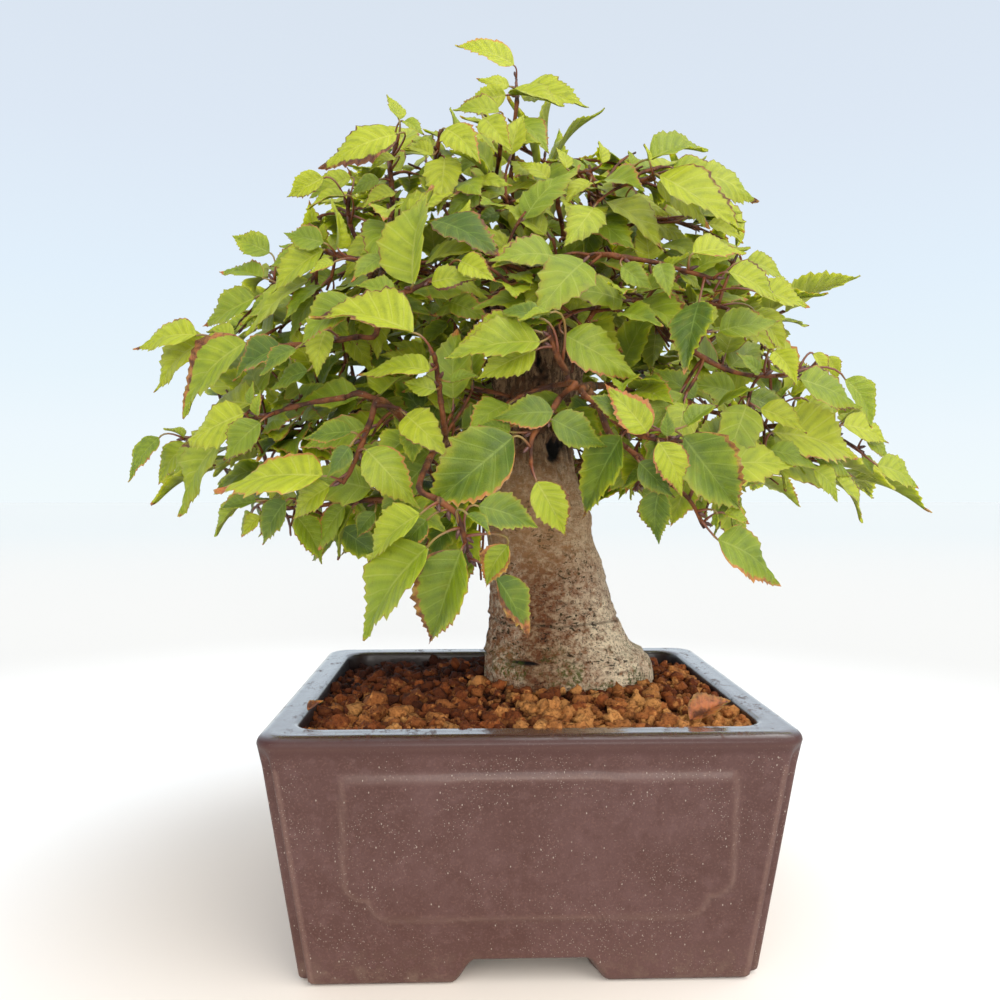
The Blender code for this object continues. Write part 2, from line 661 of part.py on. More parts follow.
def build_soil():
    """The grains' relief inside the pot, with a plain hole for the trunk."""
    floor = FLOOR_TOP + GAP
    inner_x = body_half(RIM_HALF_X, FLOOR_TOP) - FLOOR_WALL - GAP
    inner_y = body_half(RIM_HALF_Y, FLOOR_TOP) - FLOOR_WALL - GAP
    top_x = RIM_HALF_X - RIM_WALL - GAP
    top_y = RIM_HALF_Y - RIM_WALL - GAP
    share = (SOIL_BLOCK_TOP - FLOOR_TOP) / (CAVITY_TOP - FLOOR_TOP)
    high_x = inner_x + (top_x - inner_x) * share
    high_y = inner_y + (top_y - inner_y) * share
    low_ring = rounded_ring(inner_x, inner_y, RIM_CORNER, floor)
    high_ring = rounded_ring(high_x, high_y, RIM_CORNER, SOIL_BLOCK_TOP)
    soil = add_solid("soil", loft([low_ring, high_ring]))
    top, rows, columns = soil_relief()
    join(soil, [add_solid("relief", lattice_solid(top, rows, columns, 0.0))], "INTERSECT")
    foot = TRUNK_RINGS[0]
    levels = (foot[0] - GAP, SOIL_BLOCK_TOP + SOIL_MOUND)
    hole = [trunk_outline((height, *foot[1:]), TRUNK_ROOM) for height in levels]
    cut_away(soil, [add_solid("hole", loft(hole))])
    paint(soil, "soil_granules", (0.23, 0.095, 0.035), 0.95)
    return soil


def lumpy_ring(ring, draw):
    """A ring of the trunk with its bark lumps and root ridges."""
    height, middle_x, middle_y, half_x, half_y, lumps = ring
    corners = []
    for turn, (x, y, z) in enumerate(trunk_outline(ring)):
        swell = 1.0 + lumps * draw.uniform(-1.0, 1.0)
        lift = lumps * draw.uniform(-LUMP_LIFT, LUMP_LIFT)
        corners.append((middle_x + (x - middle_x) * swell, middle_y + (y - middle_y) * swell, z + lift))
    return corners


def trunk_shape():
    """The trunk from its hidden root end up to the knobbed head."""
    draw = random.Random(TRUNK_SEED)
    return loft([lumpy_ring(ring, draw) for ring in TRUNK_RINGS])


def twig_points(plan, lean):
    """A shoot's twig in the round: just under the dome at its tip and deeper at its root."""
    points = []
    last = len(plan["path"]) - 1
    for index, (column, row) in enumerate(plan["path"]):
        share = index / last
        depth = plan["depth"] + (TWIG_DEPTH_AT_TIP - plan["depth"]) * share
        back = dome_back(column, row) + depth - plan["forward"] + lean
        points.append(seen(column, row, back))
    return points


def far_twig(middle_bearing, height_angle, tip_share, draw):
    """A twig of the far half, which runs out to the dome and levels off near its tip."""
    bearing = math.radians(middle_bearing)
    rise = math.radians(height_angle)
    out = Vector((math.cos(bearing) * math.cos(rise), math.sin(bearing) * math.cos(rise), math.sin(rise)))
    height = CROWN_REACH.z if out.z > 0.0 else CROWN_DROP
    reach = Vector((CROWN_REACH.x * out.x, CROWN_REACH.y * out.y, height * out.z))
    side = Vector((-math.sin(bearing), math.cos(bearing), 0.0)) * draw.uniform(-FAR_TWIG_SWAY, FAR_TWIG_SWAY)
    root = CROWN_MIDDLE + reach * (tip_share - FAR_TWIG_LENGTH) + Vector((0.0, 0.0, 4.0))
    tip = CROWN_MIDDLE + reach * tip_share + side
    bend = (root + tip) * 0.5 + side * 0.3 + Vector((0.0, 0.0, 3.0))
    return [root, bend, tip]


def far_shoots():
    """The twigs of the far half, ring by ring."""
    draw = random.Random(FAR_SEED)
    twigs = {}
    for level, (rise, first, last, count, tip_share) in enumerate(FAR_RINGS):
        for index in range(count):
            bearing = first + (last - first) * index / (count - 1)
            bearing += draw.uniform(-FAR_ANGLE_SPREAD, FAR_ANGLE_SPREAD)
            angle = rise + draw.uniform(-FAR_ANGLE_SPREAD, FAR_ANGLE_SPREAD)
            twigs[f"far_{level}_{index}"] = far_twig(bearing, angle, tip_share, draw)
    return twigs


def clear_of(path, taken, clearance):
    """Whether a path keeps its distance from the points already taken."""
    for point in path:
        place, index, distance = taken.find(point)
        if place is not None and distance < clearance:
            return False
    return True


def point_cloud(paths):
    """All points of some paths, ready to be searched."""
    cloud = KDTree(sum(len(path) for path in paths) + 1)
    for path in paths:
        for point in path:
            cloud.insert(point, 0)
    cloud.insert(Vector((0.0, 0.0, -1000.0)), 0)
    cloud.balance()
    return cloud


def place_twigs():
    """Every twig's smooth path, each leaned back or forward until it clears the others."""
    twigs = {}
    for name, plan in SHOOTS.items():
        cloud = point_cloud(twigs.values())
        for lean in (0, 3, -3, 6, -6, 9, -9, 12, 16):
            path = smooth_path(twig_points(plan, lean), 6)
            if clear_of(path, cloud, BRANCH_CLEARANCE):
                break
        twigs[name] = path
    for name, points in far_shoots().items():
        twigs[name] = smooth_path(points, 8)
    return twigs


def trunk_knots():
    """Places on the trunk's axis where a branch may start."""
    knots = []
    for height, x, y, half_x, half_y, lumps in TRUNK_RINGS[:-1]:
        if height > LOWEST_BRANCH:
            knots.append({"place": Vector((x, y, height)), "along": Vector(), "reach": 0.0, "owner": None,
                          "used": 0})
    return knots


def branch_route(start, twig):
    """A branch's points from a knot out to the root of a twig."""
    root = twig[0]
    along = (twig[1] - twig[0]).normalized()
    last = root - along * BRANCH_END
    span = last - start
    bend = start + span * 0.5 + Vector((0.0, 0.0, BRANCH_ARCH * span.length))
    points = [start, bend, last, root - along * GAP]
    return smooth_path(points, 4)


def grow_branches(twigs):
    """Join every twig to the trunk or to an earlier branch by the shortest clear way."""
    knots = trunk_knots()
    head = knots[-2]["place"]
    branches = {}
    order = sorted(twigs, key=lambda name: (twigs[name][0] - head).length)
    for name in order:
        others = point_cloud([path for other, path in twigs.items() if other != name])
        choices = []
        for index, knot in enumerate(knots):
            span = twigs[name][0] - knot["place"]
            beside = max(0.0, span.normalized().dot(knot["along"]) - PARALLEL_FROM)
            cost = span.length + REACH_COST * knot["reach"] + FALL_COST * max(0.0, -span.z)
            cost += PARALLEL_COST * beside + USED_COST * knot["used"]
            choices.append((cost, index))
        choices.sort()
        for cost, index in choices:
            route = branch_route(knots[index]["place"], twigs[name])
            if clear_of(route, others, BRANCH_CLEARANCE):
                break
        branches[name] = (index, route)
        knots[index]["used"] += 1 if knots[index]["owner"] else 0
        knots.extend(new_knots(name, knots[index], branch_line(route)))
    return knots, branches


def branch_line(route):
    """The few points that a branch is modelled through."""
    span = (route[-1] - route[0]).length
    picked = (0, 4, 8, 12) if span > SHORT_BRANCH else (0, 8, 12)
    return [route[index] for index in picked]


def new_knots(name, start, line):
    """Places along a branch, short of its end, where a later one may start."""
    added = []
    reach = start["reach"]
    for begin, stop in zip(line, line[1:]):
        step = stop - begin
        for share in (0.5, 1.0):
            added.append({"place": begin.lerp(stop, share), "along": step.normalized(),
                          "reach": reach + step.length * share, "owner": name, "used": 0})
        reach += step.length
    return added[:-3]


def branch_loads(knots, branches):
    """How many shoots each branch carries, its own among them."""
    loads = {name: 1 for name in branches}
    for name in reversed(list(branches)):
        owner = knots[branches[name][0]]["owner"]
        if owner:
            loads[owner] += loads[name]
    return loads


def branch_tube(route, load):
    """A branch that tapers to its twig's thickness."""
    line = branch_line(route)
    root = TWIG_RADIUS * (1.0 + load) ** BRANCH_GROWTH
    radii = [root + (TWIG_RADIUS - root) * index / (len(line) - 1) for index in range(len(line))]
    return tube(line, radii, BRANCH_SIDES if load > 2 else TWIG_SIDES)


def wood_shapes(knots, branches):
    """The trunk, the branches and the sawn stubs, still apart."""
    loads = branch_loads(knots, branches)
    shapes = [trunk_shape()]
    for name, (index, route) in branches.items():
        shapes.append(branch_tube(route, loads[name]))
    for points, root_radius, end_radius in CUT_BRANCHES.values():
        path = smooth_path([seen(*point) for point in points], 2)
        radii = [root_radius + (end_radius - root_radius) * i / (len(path) - 1) for i in range(len(path))]
        shapes.append(tube(path, radii, BRANCH_SIDES))
    return shapes


def build_wood(shapes):
    """Trunk and branches grown as one piece."""
    wood = add_solid("wood", shapes[0])
    join(wood, [add_solid("branch", shape) for shape in shapes[1:]], "UNION", "MANIFOLD")
    paint(wood, "bark", (0.32, 0.245, 0.18), 0.9)
    return wood


def twig_line(path):
    """The few points that a twig is modelled through."""
    last = len(path) - 1
    span = sum((stop - start).length for start, stop in zip(path, path[1:]))
    bends = TWIG_BENDS if span > LONG_TWIG else TWIG_BENDS - 1
    return [path[round(last * index / bends)] for index in range(bends + 1)]


def twig_shape(path):
    """A shoot's own twig."""
    picked = twig_line(path)
    radii = []
    for index in range(len(picked)):
        share = index / (len(picked) - 1)
        radii.append(TWIG_RADIUS + (TWIG_TIP_RADIUS - TWIG_RADIUS) * share)
    return tube(picked, radii, TWIG_SIDES)


def free_roots(line, leaf, roots):
    """The places on a twig nearest to a leaf's base that lie behind it and are still free."""
    base = leaf["base"]
    ahead = (leaf["tip"] - base).normalized()
    places = []
    for start, stop in zip(line, line[1:]):
        steps = max(2, round(2.0 * (stop - start).length / ROOT_SPACING))
        places += [start.lerp(stop, (step + 0.5) / steps) for step in range(steps)]
    free = [place for place in places if all((place - root).length > ROOT_SPACING for root in roots)]
    behind = [place for place in free if (base - place).normalized().dot(ahead) > ROOT_BEHIND]
    return sorted(behind, key=lambda place: (place - base).length)[:ROOT_CHOICES]


def faces_met(leaf, tree):
    """How many pairs of faces a leaf and its twig share; many where it meets none at all."""
    return len(BVHTree.FromPolygons(*leaf_shape(leaf)).overlap(tree)) or 100


def take_root(leaf, line, roots, twig_tree):
    """Give a leaf the free place on its twig that its petiole meets most plainly, if any."""
    choices = []
    for root in free_roots(line, leaf, roots):
        leaf["root"] = root
        choices.append((faces_met(leaf, twig_tree), len(choices), root))
    if choices:
        leaf["root"] = min(choices)[2]
    return bool(choices)


def leaf_frame(base, tip, up):
    """Length and axes of a leaf: along it, across it and out of its face."""
    along = tip - base
    length = along.length
    along.normalize()
    face = (up - along * up.dot(along)).normalized()
    return length, along, face.cross(along), face


def leaf_points(leaf, swell=0.0):
    """A blade's outline and midrib points; the outline starts at the petiole on one side."""
    length, along, across, face = leaf_frame(leaf["base"], leaf["tip"], leaf["face"])
    half = leaf["half_width"] + swell
    outline = []
    for side in (1.0, -1.0):
        teeth = LARGE_OUTLINE if length >= LARGE_LEAF else SMALL_OUTLINE
        points = [(0.0, PETIOLE_HALF)] + [(t, width * half) for t, width in teeth]
        rim = []
        for t, width in points:
            rise = LEAF_ARCH * length * math.sin(math.pi * min(t * 1.1, 1.0)) + LEAF_FOLD * width
            rim.append(leaf["base"] + along * (t * length) + across * (side * width) + face * rise)
        outline.append(rim)
    tip = leaf["tip"] + along * swell
    ridge = leaf["base"] + along * (0.44 * length) + face * (LEAF_ARCH * length)
    return outline[0] + [tip] + list(reversed(outline[1])), ridge, face


def petiole_room(first, last, ridge, root):
    """Six times the signed volume of a petiole that hangs from the blade's base and midrib."""
    return (first - ridge).dot((last - ridge).cross(root - ridge))


def leaf_shape(leaf):
    """A toothed blade, thick at its midrib, and a petiole whose end is sunk in the twig."""
    outline, ridge, face = leaf_points(leaf)
    count = len(outline)
    upper = ridge + face * (0.25 * LEAF_MIDRIB)
    lower = ridge - face * (0.75 * LEAF_MIDRIB)
    inward = (leaf["root"] - leaf["base"]).normalized() * PETIOLE_SUNK
    end = leaf["root"] + inward
    corners = outline + [upper, lower, end]
    above, below, root = count, count + 1, count + 2
    faces = []
    for index in range(count - 1):
        faces.append((above, index, index + 1))
        faces.append((below, index + 1, index))
    last = count - 1
    room_above = petiole_room(outline[0], outline[-1], upper, end)
    room_below = -petiole_room(outline[0], outline[-1], lower, end)
    if room_above > room_below:
        faces += [(above, root, 0), (above, last, root), (below, 0, last), (0, root, last)]
    else:
        faces += [(above, last, 0), (0, last, root), (below, 0, root), (below, root, last)]
    return corners, faces


def leaf_guard(leaf):
    """A slightly larger, blunt-edged hull of a leaf, to keep others clear of it."""
    outline, ridge, face = leaf_points(leaf, LEAF_CLEARANCE)
    count = len(outline)
    away = face * LEAF_CLEARANCE
    middle = face * (0.5 * LEAF_MIDRIB)
    stem = leaf["root"] + (leaf["base"] - leaf["root"]) * 0.25
    corners = [point + away for point in outline] + [point - away for point in outline]
    corners += [ridge + middle + away * 0.5, ridge - middle * 2.0 - away, stem + away, stem - away]
    above, below, root_above, root_below = 2 * count, 2 * count + 1, 2 * count + 2, 2 * count + 3
    faces = []
    for index in range(count - 1):
        faces.append((above, index, index + 1))
        faces.append((below, count + index + 1, count + index))
        faces.append((index, count + index, count + index + 1))
        faces.append((index, count + index + 1, index + 1))
    last = count - 1
    faces += [(above, root_above, 0), (above, last, root_above)]
    faces += [(below, count, root_below), (below, root_below, count + last)]
    faces += [(0, root_above, root_below), (0, root_below, count)]
    faces += [(last, root_below, root_above), (last, count + last, root_below)]
    return BVHTree.FromPolygons(corners, faces)


def blade_guard(leaf):
    """The outer part of a blade alone, to keep it off its own twig."""
    outline, ridge, face = leaf_points(leaf, LEAF_CLEARANCE)
    middle = face * LEAF_MIDRIB
    count = len(outline)
    corners = outline + [ridge + middle, ridge - middle]
    faces = [(count, index, index + 1) for index in range(count - 1)]
    faces += [(count + 1, index + 1, index) for index in range(count - 1)]
    return BVHTree.FromPolygons(corners, faces)


def leaf_collides(leaf, guard, placed, solids, own_twig):
    """Whether a leaf's guard touches wood, a twig or another leaf."""
    if blade_guard(leaf).overlap(solids[own_twig]):
        return True
    if faces_met(leaf, solids[own_twig]) > PETIOLE_PAIRS:
        return True
    for name, tree in solids.items():
        if name != own_twig and guard.overlap(tree):
            return True
    middle = (leaf["base"] + leaf["tip"]) * 0.5
    for other in placed:
        reach = (other["length"] + leaf["length"]) * 0.75 + 6.0
        if (other["middle"] - middle).length < reach and guard.overlap(other["guard"]):
            return True
    return False


def settle(leaf, placed, solids, own_twig):
    """Keep a leaf if nothing is in its way."""
    leaf["length"] = (leaf["tip"] - leaf["base"]).length
    leaf["middle"] = (leaf["base"] + leaf["tip"]) * 0.5
    guard = leaf_guard(leaf)
    if leaf_collides(leaf, guard, placed, solids, own_twig):
        return False
    leaf["guard"] = guard
    leaf["twig"] = own_twig
    placed.append(leaf)
    return True


def seen_leaf(row, path, lean, turn_change, size):
    """A leaf from its base and tip in the frame, with its base near the twig."""
    base_column, base_row, tip_column, tip_row, turn = row
    screen = seen(base_column, base_row, dome_back(base_column, base_row))
    ray = (screen - EYE).normalized()
    near = min(path, key=lambda point: ((point - EYE) - ray * (point - EYE).dot(ray)).length)
    base_back = near.y - 3.0 + 0.4 * lean
    base = seen(base_column, base_row, base_back)
    slope = dome_back(tip_column, tip_row) - dome_back(base_column, base_row) + 0.6 * lean
    limit = 0.42 * (seen(tip_column, tip_row, base_back) - base).length
    tip = seen(tip_column, tip_row, base_back + max(-limit, min(limit, slope)))
    tip = base + (tip - base) * size
    along = (tip - base).normalized()
    to_eye = (EYE - base).normalized()
    facing = (to_eye - along * to_eye.dot(along)).normalized()
    angle = math.radians(TURN.get(turn, turn) + turn_change)
    faces = [Matrix.Rotation(sign * angle, 3, along) @ facing for sign in (1.0, -1.0)]
    face = max(faces, key=lambda normal: normal.z)
    length = min((tip - base).length, LEAF_LONGEST)
    return {"base": base, "tip": base + along * length, "face": face,
            "half_width": 0.5 * LEAF_SHAPE * length}


def place_seen_leaves(twigs, solids, placed):
    """The leaves that were seen, each eased back or forward until it is clear."""
    for name, plan in SHOOTS.items():
        for row in plan["leaves"]:
            place_seen_leaf(name, row, twigs[name], solids, placed)


def place_seen_leaf(name, row, path, solids, placed):
    """Try one seen leaf at several depths, turns and sizes."""
    roots = [leaf["root"] for leaf in placed if leaf["twig"] == name]
    for size in (1.0, 0.9, 0.8):
        for turn_change in (0, 14, -14, 26):
            for lean in (0, -4, 4, -8, 8, -13, 13, -18):
                leaf = seen_leaf(row, path, lean, turn_change, size)
                rooted = take_root(leaf, twig_line(path), roots, solids[name])
                if rooted and settle(leaf, placed, solids, name):
                    return


def far_leaf(line, share, side, draw):
    """A leaf of a far twig: out to one side, forward along the twig and drooping."""
    spot = share * (len(line) - 1)
    index = min(int(spot), len(line) - 2)
    root = line[index].lerp(line[index + 1], spot - index)
    along = (line[index + 1] - line[index]).normalized()
    out = (root - CROWN_MIDDLE).normalized()
    across = along.cross(Vector((0.0, 0.0, 1.0))).normalized() * side
    spread = draw.uniform(0.7, 1.25) if share < 0.97 else draw.uniform(-0.3, 0.3)
    heading = along + across * spread + out * draw.uniform(0.0, 0.5)
    heading.z += draw.uniform(-0.45, 0.2)
    heading.normalize()
    length = draw.uniform(19.0, 27.0)
    base = root + heading * draw.uniform(3.5, 5.5)
    face = Vector((0.0, 0.0, 1.0)) * draw.uniform(0.5, 1.1) + out * 0.7
    face += Vector((draw.uniform(-0.4, 0.4), draw.uniform(-0.4, 0.4), 0.0))
    return {"base": base, "tip": base + heading * length, "face": face, "root": root,
            "half_width": 0.5 * LEAF_SHAPE * length}


def place_far_leaves(twigs, solids, placed):
    """Leaves by rule along each far twig, drawn again where one is in the way."""
    for name, path in twigs.items():
        if name in SHOOTS:
            continue
        draw = random.Random(name)
        for index in range(FAR_LEAVES):
            share = 0.16 + 0.82 * index / (FAR_LEAVES - 1)
            side = 1.0 if index % 2 else -1.0
            for attempt in range(24):
                if settle(far_leaf(twig_line(path), share, side, draw), placed, solids, name):
                    break


def solid_trees(shapes, twigs):
    """Search trees for the wood and for each twig."""
    trees = {}
    for index, (corners, faces) in enumerate(shapes):
        trees[f"wood_{index}"] = BVHTree.FromPolygons([Vector(corner) for corner in corners], faces)
    for name, path in twigs.items():
        corners, faces = twig_shape(path)
        trees[name] = BVHTree.FromPolygons(corners, faces)
    return trees


def build_sprays(twigs, placed):
    """One solid for each leafy shoot: its twig with its leaves."""
    sprays = []
    for name, path in twigs.items():
        spray = add_solid(f"spray_{name}", twig_shape(path))
        leaves = [leaf for leaf in placed if leaf["twig"] == name]
        join(spray, [add_solid("leaf", leaf_shape(leaf)) for leaf in leaves], "UNION")
        paint(spray, "leaf_green", (0.16, 0.27, 0.035), 0.55)
        sprays.append(spray)
    return sprays


def stand_on_origin(solids):
    """Put every solid under one empty that centres the whole box on the origin."""
    corners = [corner.co for solid in solids for corner in solid.data.vertices]
    low = Vector([min(corner[axis] for corner in corners) for axis in range(3)])
    high = Vector([max(corner[axis] for corner in corners) for axis in range(3)])
    stand = bpy.data.objects.new("bonsai", None)
    bpy.context.collection.objects.link(stand)
    stand.location = Vector((-(low.x + high.x) / 2.0, -(low.y + high.y) / 2.0, -low.z))
    for solid in solids:
        solid.parent = stand


def main():
    """Model every piece."""
    for old in list(bpy.data.objects):
        bpy.data.objects.remove(old)
    twigs = place_twigs()
    knots, branches = grow_branches(twigs)
    shapes = wood_shapes(knots, branches)
    trees = solid_trees(shapes, twigs)
    placed = []
    place_seen_leaves(twigs, trees, placed)
    place_far_leaves(twigs, trees, placed)
    solids = [build_pot(), build_soil(), build_wood(shapes)] + build_sprays(twigs, placed)
    for solid in solids:
        triangulate(solid)
    stand_on_origin(solids)


main()
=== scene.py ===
"""Korean hornbeam bonsai, dressed: pot, soil, wood and leafy shoots with their fine forms and
materials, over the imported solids.

Lengths are in millimetres in the part's own working frame, with the middle of the pot's
footprint at x = y = 0, until a mesh is made; add_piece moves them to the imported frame.
"""

import math
import random

import bmesh
import bpy
import numpy as np
from mathutils import Matrix, Vector, noise
from mathutils.bvhtree import BVHTree
from mathutils.kdtree import KDTree

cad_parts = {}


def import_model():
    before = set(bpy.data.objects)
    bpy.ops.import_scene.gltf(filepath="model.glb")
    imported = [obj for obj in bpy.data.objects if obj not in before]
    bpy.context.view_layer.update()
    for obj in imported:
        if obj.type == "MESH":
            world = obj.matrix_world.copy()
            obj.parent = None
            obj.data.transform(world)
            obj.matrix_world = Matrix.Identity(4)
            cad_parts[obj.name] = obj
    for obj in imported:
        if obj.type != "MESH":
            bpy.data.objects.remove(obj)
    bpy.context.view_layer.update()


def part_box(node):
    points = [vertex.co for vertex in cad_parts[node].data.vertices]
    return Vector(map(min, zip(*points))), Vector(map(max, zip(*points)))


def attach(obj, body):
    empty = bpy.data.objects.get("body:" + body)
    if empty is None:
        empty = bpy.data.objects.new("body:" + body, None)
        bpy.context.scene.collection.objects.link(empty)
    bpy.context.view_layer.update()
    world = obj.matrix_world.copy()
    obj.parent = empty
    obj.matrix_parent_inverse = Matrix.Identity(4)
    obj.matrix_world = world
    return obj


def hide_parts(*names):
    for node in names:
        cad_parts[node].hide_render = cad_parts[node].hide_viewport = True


MM = 0.001
GAP = 0.3

# Pot
RIM_HALF_X = 70.8
RIM_HALF_Y = 63.0
RIM_HALVES = (RIM_HALF_X, RIM_HALF_Y)
RIM_TOP = 69.0
RIM_CORNER = 5.0
LIP_CORNER = 6.4
INNER_CORNER = 8.0
RIM_OVERHANG = 0.4
RIM_WALL = 9.0
RIM_ROUNDING = 2.6
CAVITY_TOP = RIM_TOP - 1.2
BODY_TAPER = 9.5
FOOT_ROUNDING = 2.4
FOOT_HEIGHT = 7.2
FOOT_WALL = 9.0
FOOT_GAP_HALF_X = 25.0
FOOT_GAP_HALF_Y = 21.0
FOOT_SHOULDER = 8.0
FLOOR_TOP = 14.0
FLOOR_WALL = 7.0
DRAIN_RADIUS = 6.0
DRAIN_SPACING = 56.0
PANEL_RELIEF = 1.0
PANEL_TOP = 58.0
PANEL_BOTTOM = 19.0
PANEL_HALF_X = 50.5
PANEL_HALF_Y = 43.0
PANEL_OFF_MIDDLE = 2.0
PANEL_SOFTNESS = 1.1
PANEL_ARC = 5.6
PANEL_STEP = 0.9

# The pot's finer form: the arches' height and edge, where the corners' notches fade into the lip,
# the inner edge's rounding and the levels of the inside, and the lip's top as inset and height
GAP_CEILING = 7.0
ARCH_ROUNDING = 1.1
NOTCH_FULL = 60.5
NOTCH_TOP = 66.2
INNER_ROUNDING = 1.5
INNER_DROP = 0.3
CAVITY_LEVELS = (58.0, 63.0, 65.5, 67.2)
HOLLOW_RINGS = 7
LIP_LEVELS = ((5.6, 68.95), (4.4, 68.93), (3.3, 68.97))
WALL_LOW = 4.0
RIM_FLARE = 0.76
FLARE_FROM = 60.0
FLARE_FULL = 66.6
# The pot stands a little to the right, and its foot is a little wider than its lip suggests
POT_SIDEWAYS = 0.6
FOOT_SKEW = 1.017
LIP_SKEW = 0.010
STATION_PITCH = 1.2
WALL_PITCH = 1.2
QUARTERS = tuple(share * math.pi / 2.0 for share in (0.25, 0.5, 0.75, 1.0))
# Each side: the way along it and the way out of it
SIDES = ((1, 0, 0, -1), (0, 1, 1, 0), (-1, 0, 0, 1), (0, -1, -1, 0))

# Its glaze: where it is dusty and where it shines, in height, the height of a pale line at its shoulder,
# and how pale it is round a notch, from thin glaze and a painted highlight
DUST_TOP = 14.0
SILL_FROM = 67.9
SILL_FULL = 68.8
SHOULDER_PALE_LINE = 65.6
NOTCH_GLAZE_AND_HIGHLIGHT = (0.9, 0.7, 0.4, 0.0, 0.0, 0.1, 0.2, 0.1, 0.0, 0.0, 0.4, 0.7, 0.9)

# Soil
SOIL_LEVEL = 66.4
SOIL_MOUND = 4.6
SOIL_MOUND_REACH = 46.0
SETTLED_SIDE = 1.8
SETTLED_BACK = 2.6
BED_COLUMNS = 74
BED_ROWS = 62
BED_GAP = 0.5
BED_DEPTH = 1.9
GRAIN_SHAPES = 20
GRAIN_FORM_SEED = 21
GRAIN_SEED = 22
GRAIN_INSET = 1.6
GRAIN_SWAY = 0.32
GRAIN_SIZES = (1.6, 2.0, 2.3, 2.6, 2.9, 3.4)
# Each layer of grains: its number, their pitch and how far they are lifted
GRAIN_LAYERS = ((0, 3.9, -0.9), (1, 5.6, 0.9))
GRAINS_LEFT_OUT = 0.30
ROW_STEP = 0.866
FINE_GRAINS_TO = -31.0
# How dark the grains are in the middle, and how that changes to the right and to the back
GRAIN_DARKNESS_MIDDLE = 0.49
GRAIN_DARKNESS_RIGHT = -0.20
GRAIN_DARKNESS_BACK = 0.34

# Trunk: height, middle x, middle y, half width along x, half width along y, bark lumps
TRUNK_RINGS = (
    (46.0, 17.3, 11.0, 28.4, 26.0, 0.00),
    (73.4, 17.3, 11.0, 28.4, 26.0, 0.00),
    (81.0, 14.8, 11.0, 24.6, 23.2, 0.03),
    (88.5, 12.7, 11.0, 22.2, 21.2, 0.04),
    (97.0, 11.3, 11.0, 20.4, 19.8, 0.04),
    (108.0, 9.7, 11.0, 19.2, 18.4, 0.04),
    (116.0, 7.8, 11.0, 18.0, 17.4, 0.05),
    (124.0, 6.4, 11.0, 18.2, 17.2, 0.07),
    (134.0, 5.4, 11.2, 16.0, 15.4, 0.07),
    (147.0, 5.2, 11.6, 14.4, 14.0, 0.08),
    (160.0, 6.2, 12.0, 13.6, 13.4, 0.10),
    (172.0, 6.8, 12.0, 14.8, 14.2, 0.14),
    (183.0, 6.4, 12.0, 15.8, 15.2, 0.16),
    (193.0, 6.0, 12.0, 14.6, 14.2, 0.16),
    (201.0, 6.0, 12.0, 9.0, 9.0, 0.12),
)
TRUNK_SIDES = 16
TRUNK_SEED = 11
LUMP_LIFT = 12.0
TRUNK_AROUND = 140
TRUNK_UP = 200
HEAD_FROM = 130.0
HEAD_FADE = 24.0
# The middle of the trunk's head, behind which side twigs hide the bare wood
TRUNK_HEAD = Vector((6.4, 12.0, 170.0))
# Creases round the trunk: height and depth
CREASES = ((89.2, 0.6), (77.0, 0.8))
# Hollows in the trunk: column, row and depth of the place, half width, half height, depth
HOLLOWS = (
    ((524, 668, -16), 4.0, 0.9, 3.4),
    ((509, 672, -14), 2.6, 0.8, 1.8),
    ((556, 447, -6), 3.4, 4.4, 4.2),
)
HOLLOW_REACH = 9.0

# Crown: a dome of leaves
CROWN_MIDDLE = Vector((4.0, 9.0, 140.0))
CROWN_REACH = Vector((114.0, 98.0, 118.0))
CROWN_DROP = 44.0

# Twigs and leaves
TWIG_RADIUS = 1.15
TWIG_TIP_RADIUS = 0.7
TWIG_SIDES = 4
TWIG_BENDS = 3
LONG_TWIG = 30.0
TWIG_DEPTH_AT_ROOT = 15.0
TWIG_DEPTH_AT_TIP = 7.0
BRANCH_SIDES = 5
BRANCH_GROWTH = 0.44
BRANCH_CLEARANCE = 3.0
BRANCH_END = 5.0
BRANCH_ARCH = 0.06
SHORT_BRANCH = 36.0
LOWEST_BRANCH = 120.0
# A branch's thickness in scene.py, as a share of its node's
BRANCH_SHARE = 0.60
WOOD_SEED = 31

# What a branch's way costs, in millimetres: the way back to the trunk, falling, running beside
# its parent, and a fork that another branch has taken
REACH_COST = 0.42
FALL_COST = 0.5
PARALLEL_FROM = 0.75
PARALLEL_COST = 70.0
USED_COST = 10.0

LEAF_LONGEST = 30.0
LEAF_SHAPE = 0.58
LEAF_MIDRIB = 1.3
LEAF_FOLD = 0.16
LEAF_ARCH = 0.07
PETIOLE_HALF = 0.9
PETIOLE_SUNK = 0.25
ROOT_SPACING = 2.0
LEAF_CLEARANCE = 0.32
LARGE_OUTLINE = ((0.10, 0.66), (0.36, 1.04), (0.43, 0.88), (0.66, 0.74), (0.72, 0.52))
SMALL_OUTLINE = ((0.12, 0.70), (0.42, 1.04), (0.50, 0.84), (0.74, 0.58))
LARGE_LEAF = 21.0
PETIOLE_PAIRS = 8
ROOT_CHOICES = 4
ROOT_BEHIND = -0.25
# A seen leaf's base stands before its twig; a lean moves its base and its tip, but no steeper
LEAF_BEFORE_TWIG = 3.0
LEAN_AT_BASE = 0.4
LEAN_AT_TIP = 0.6
LEAF_STEEPEST = 0.42

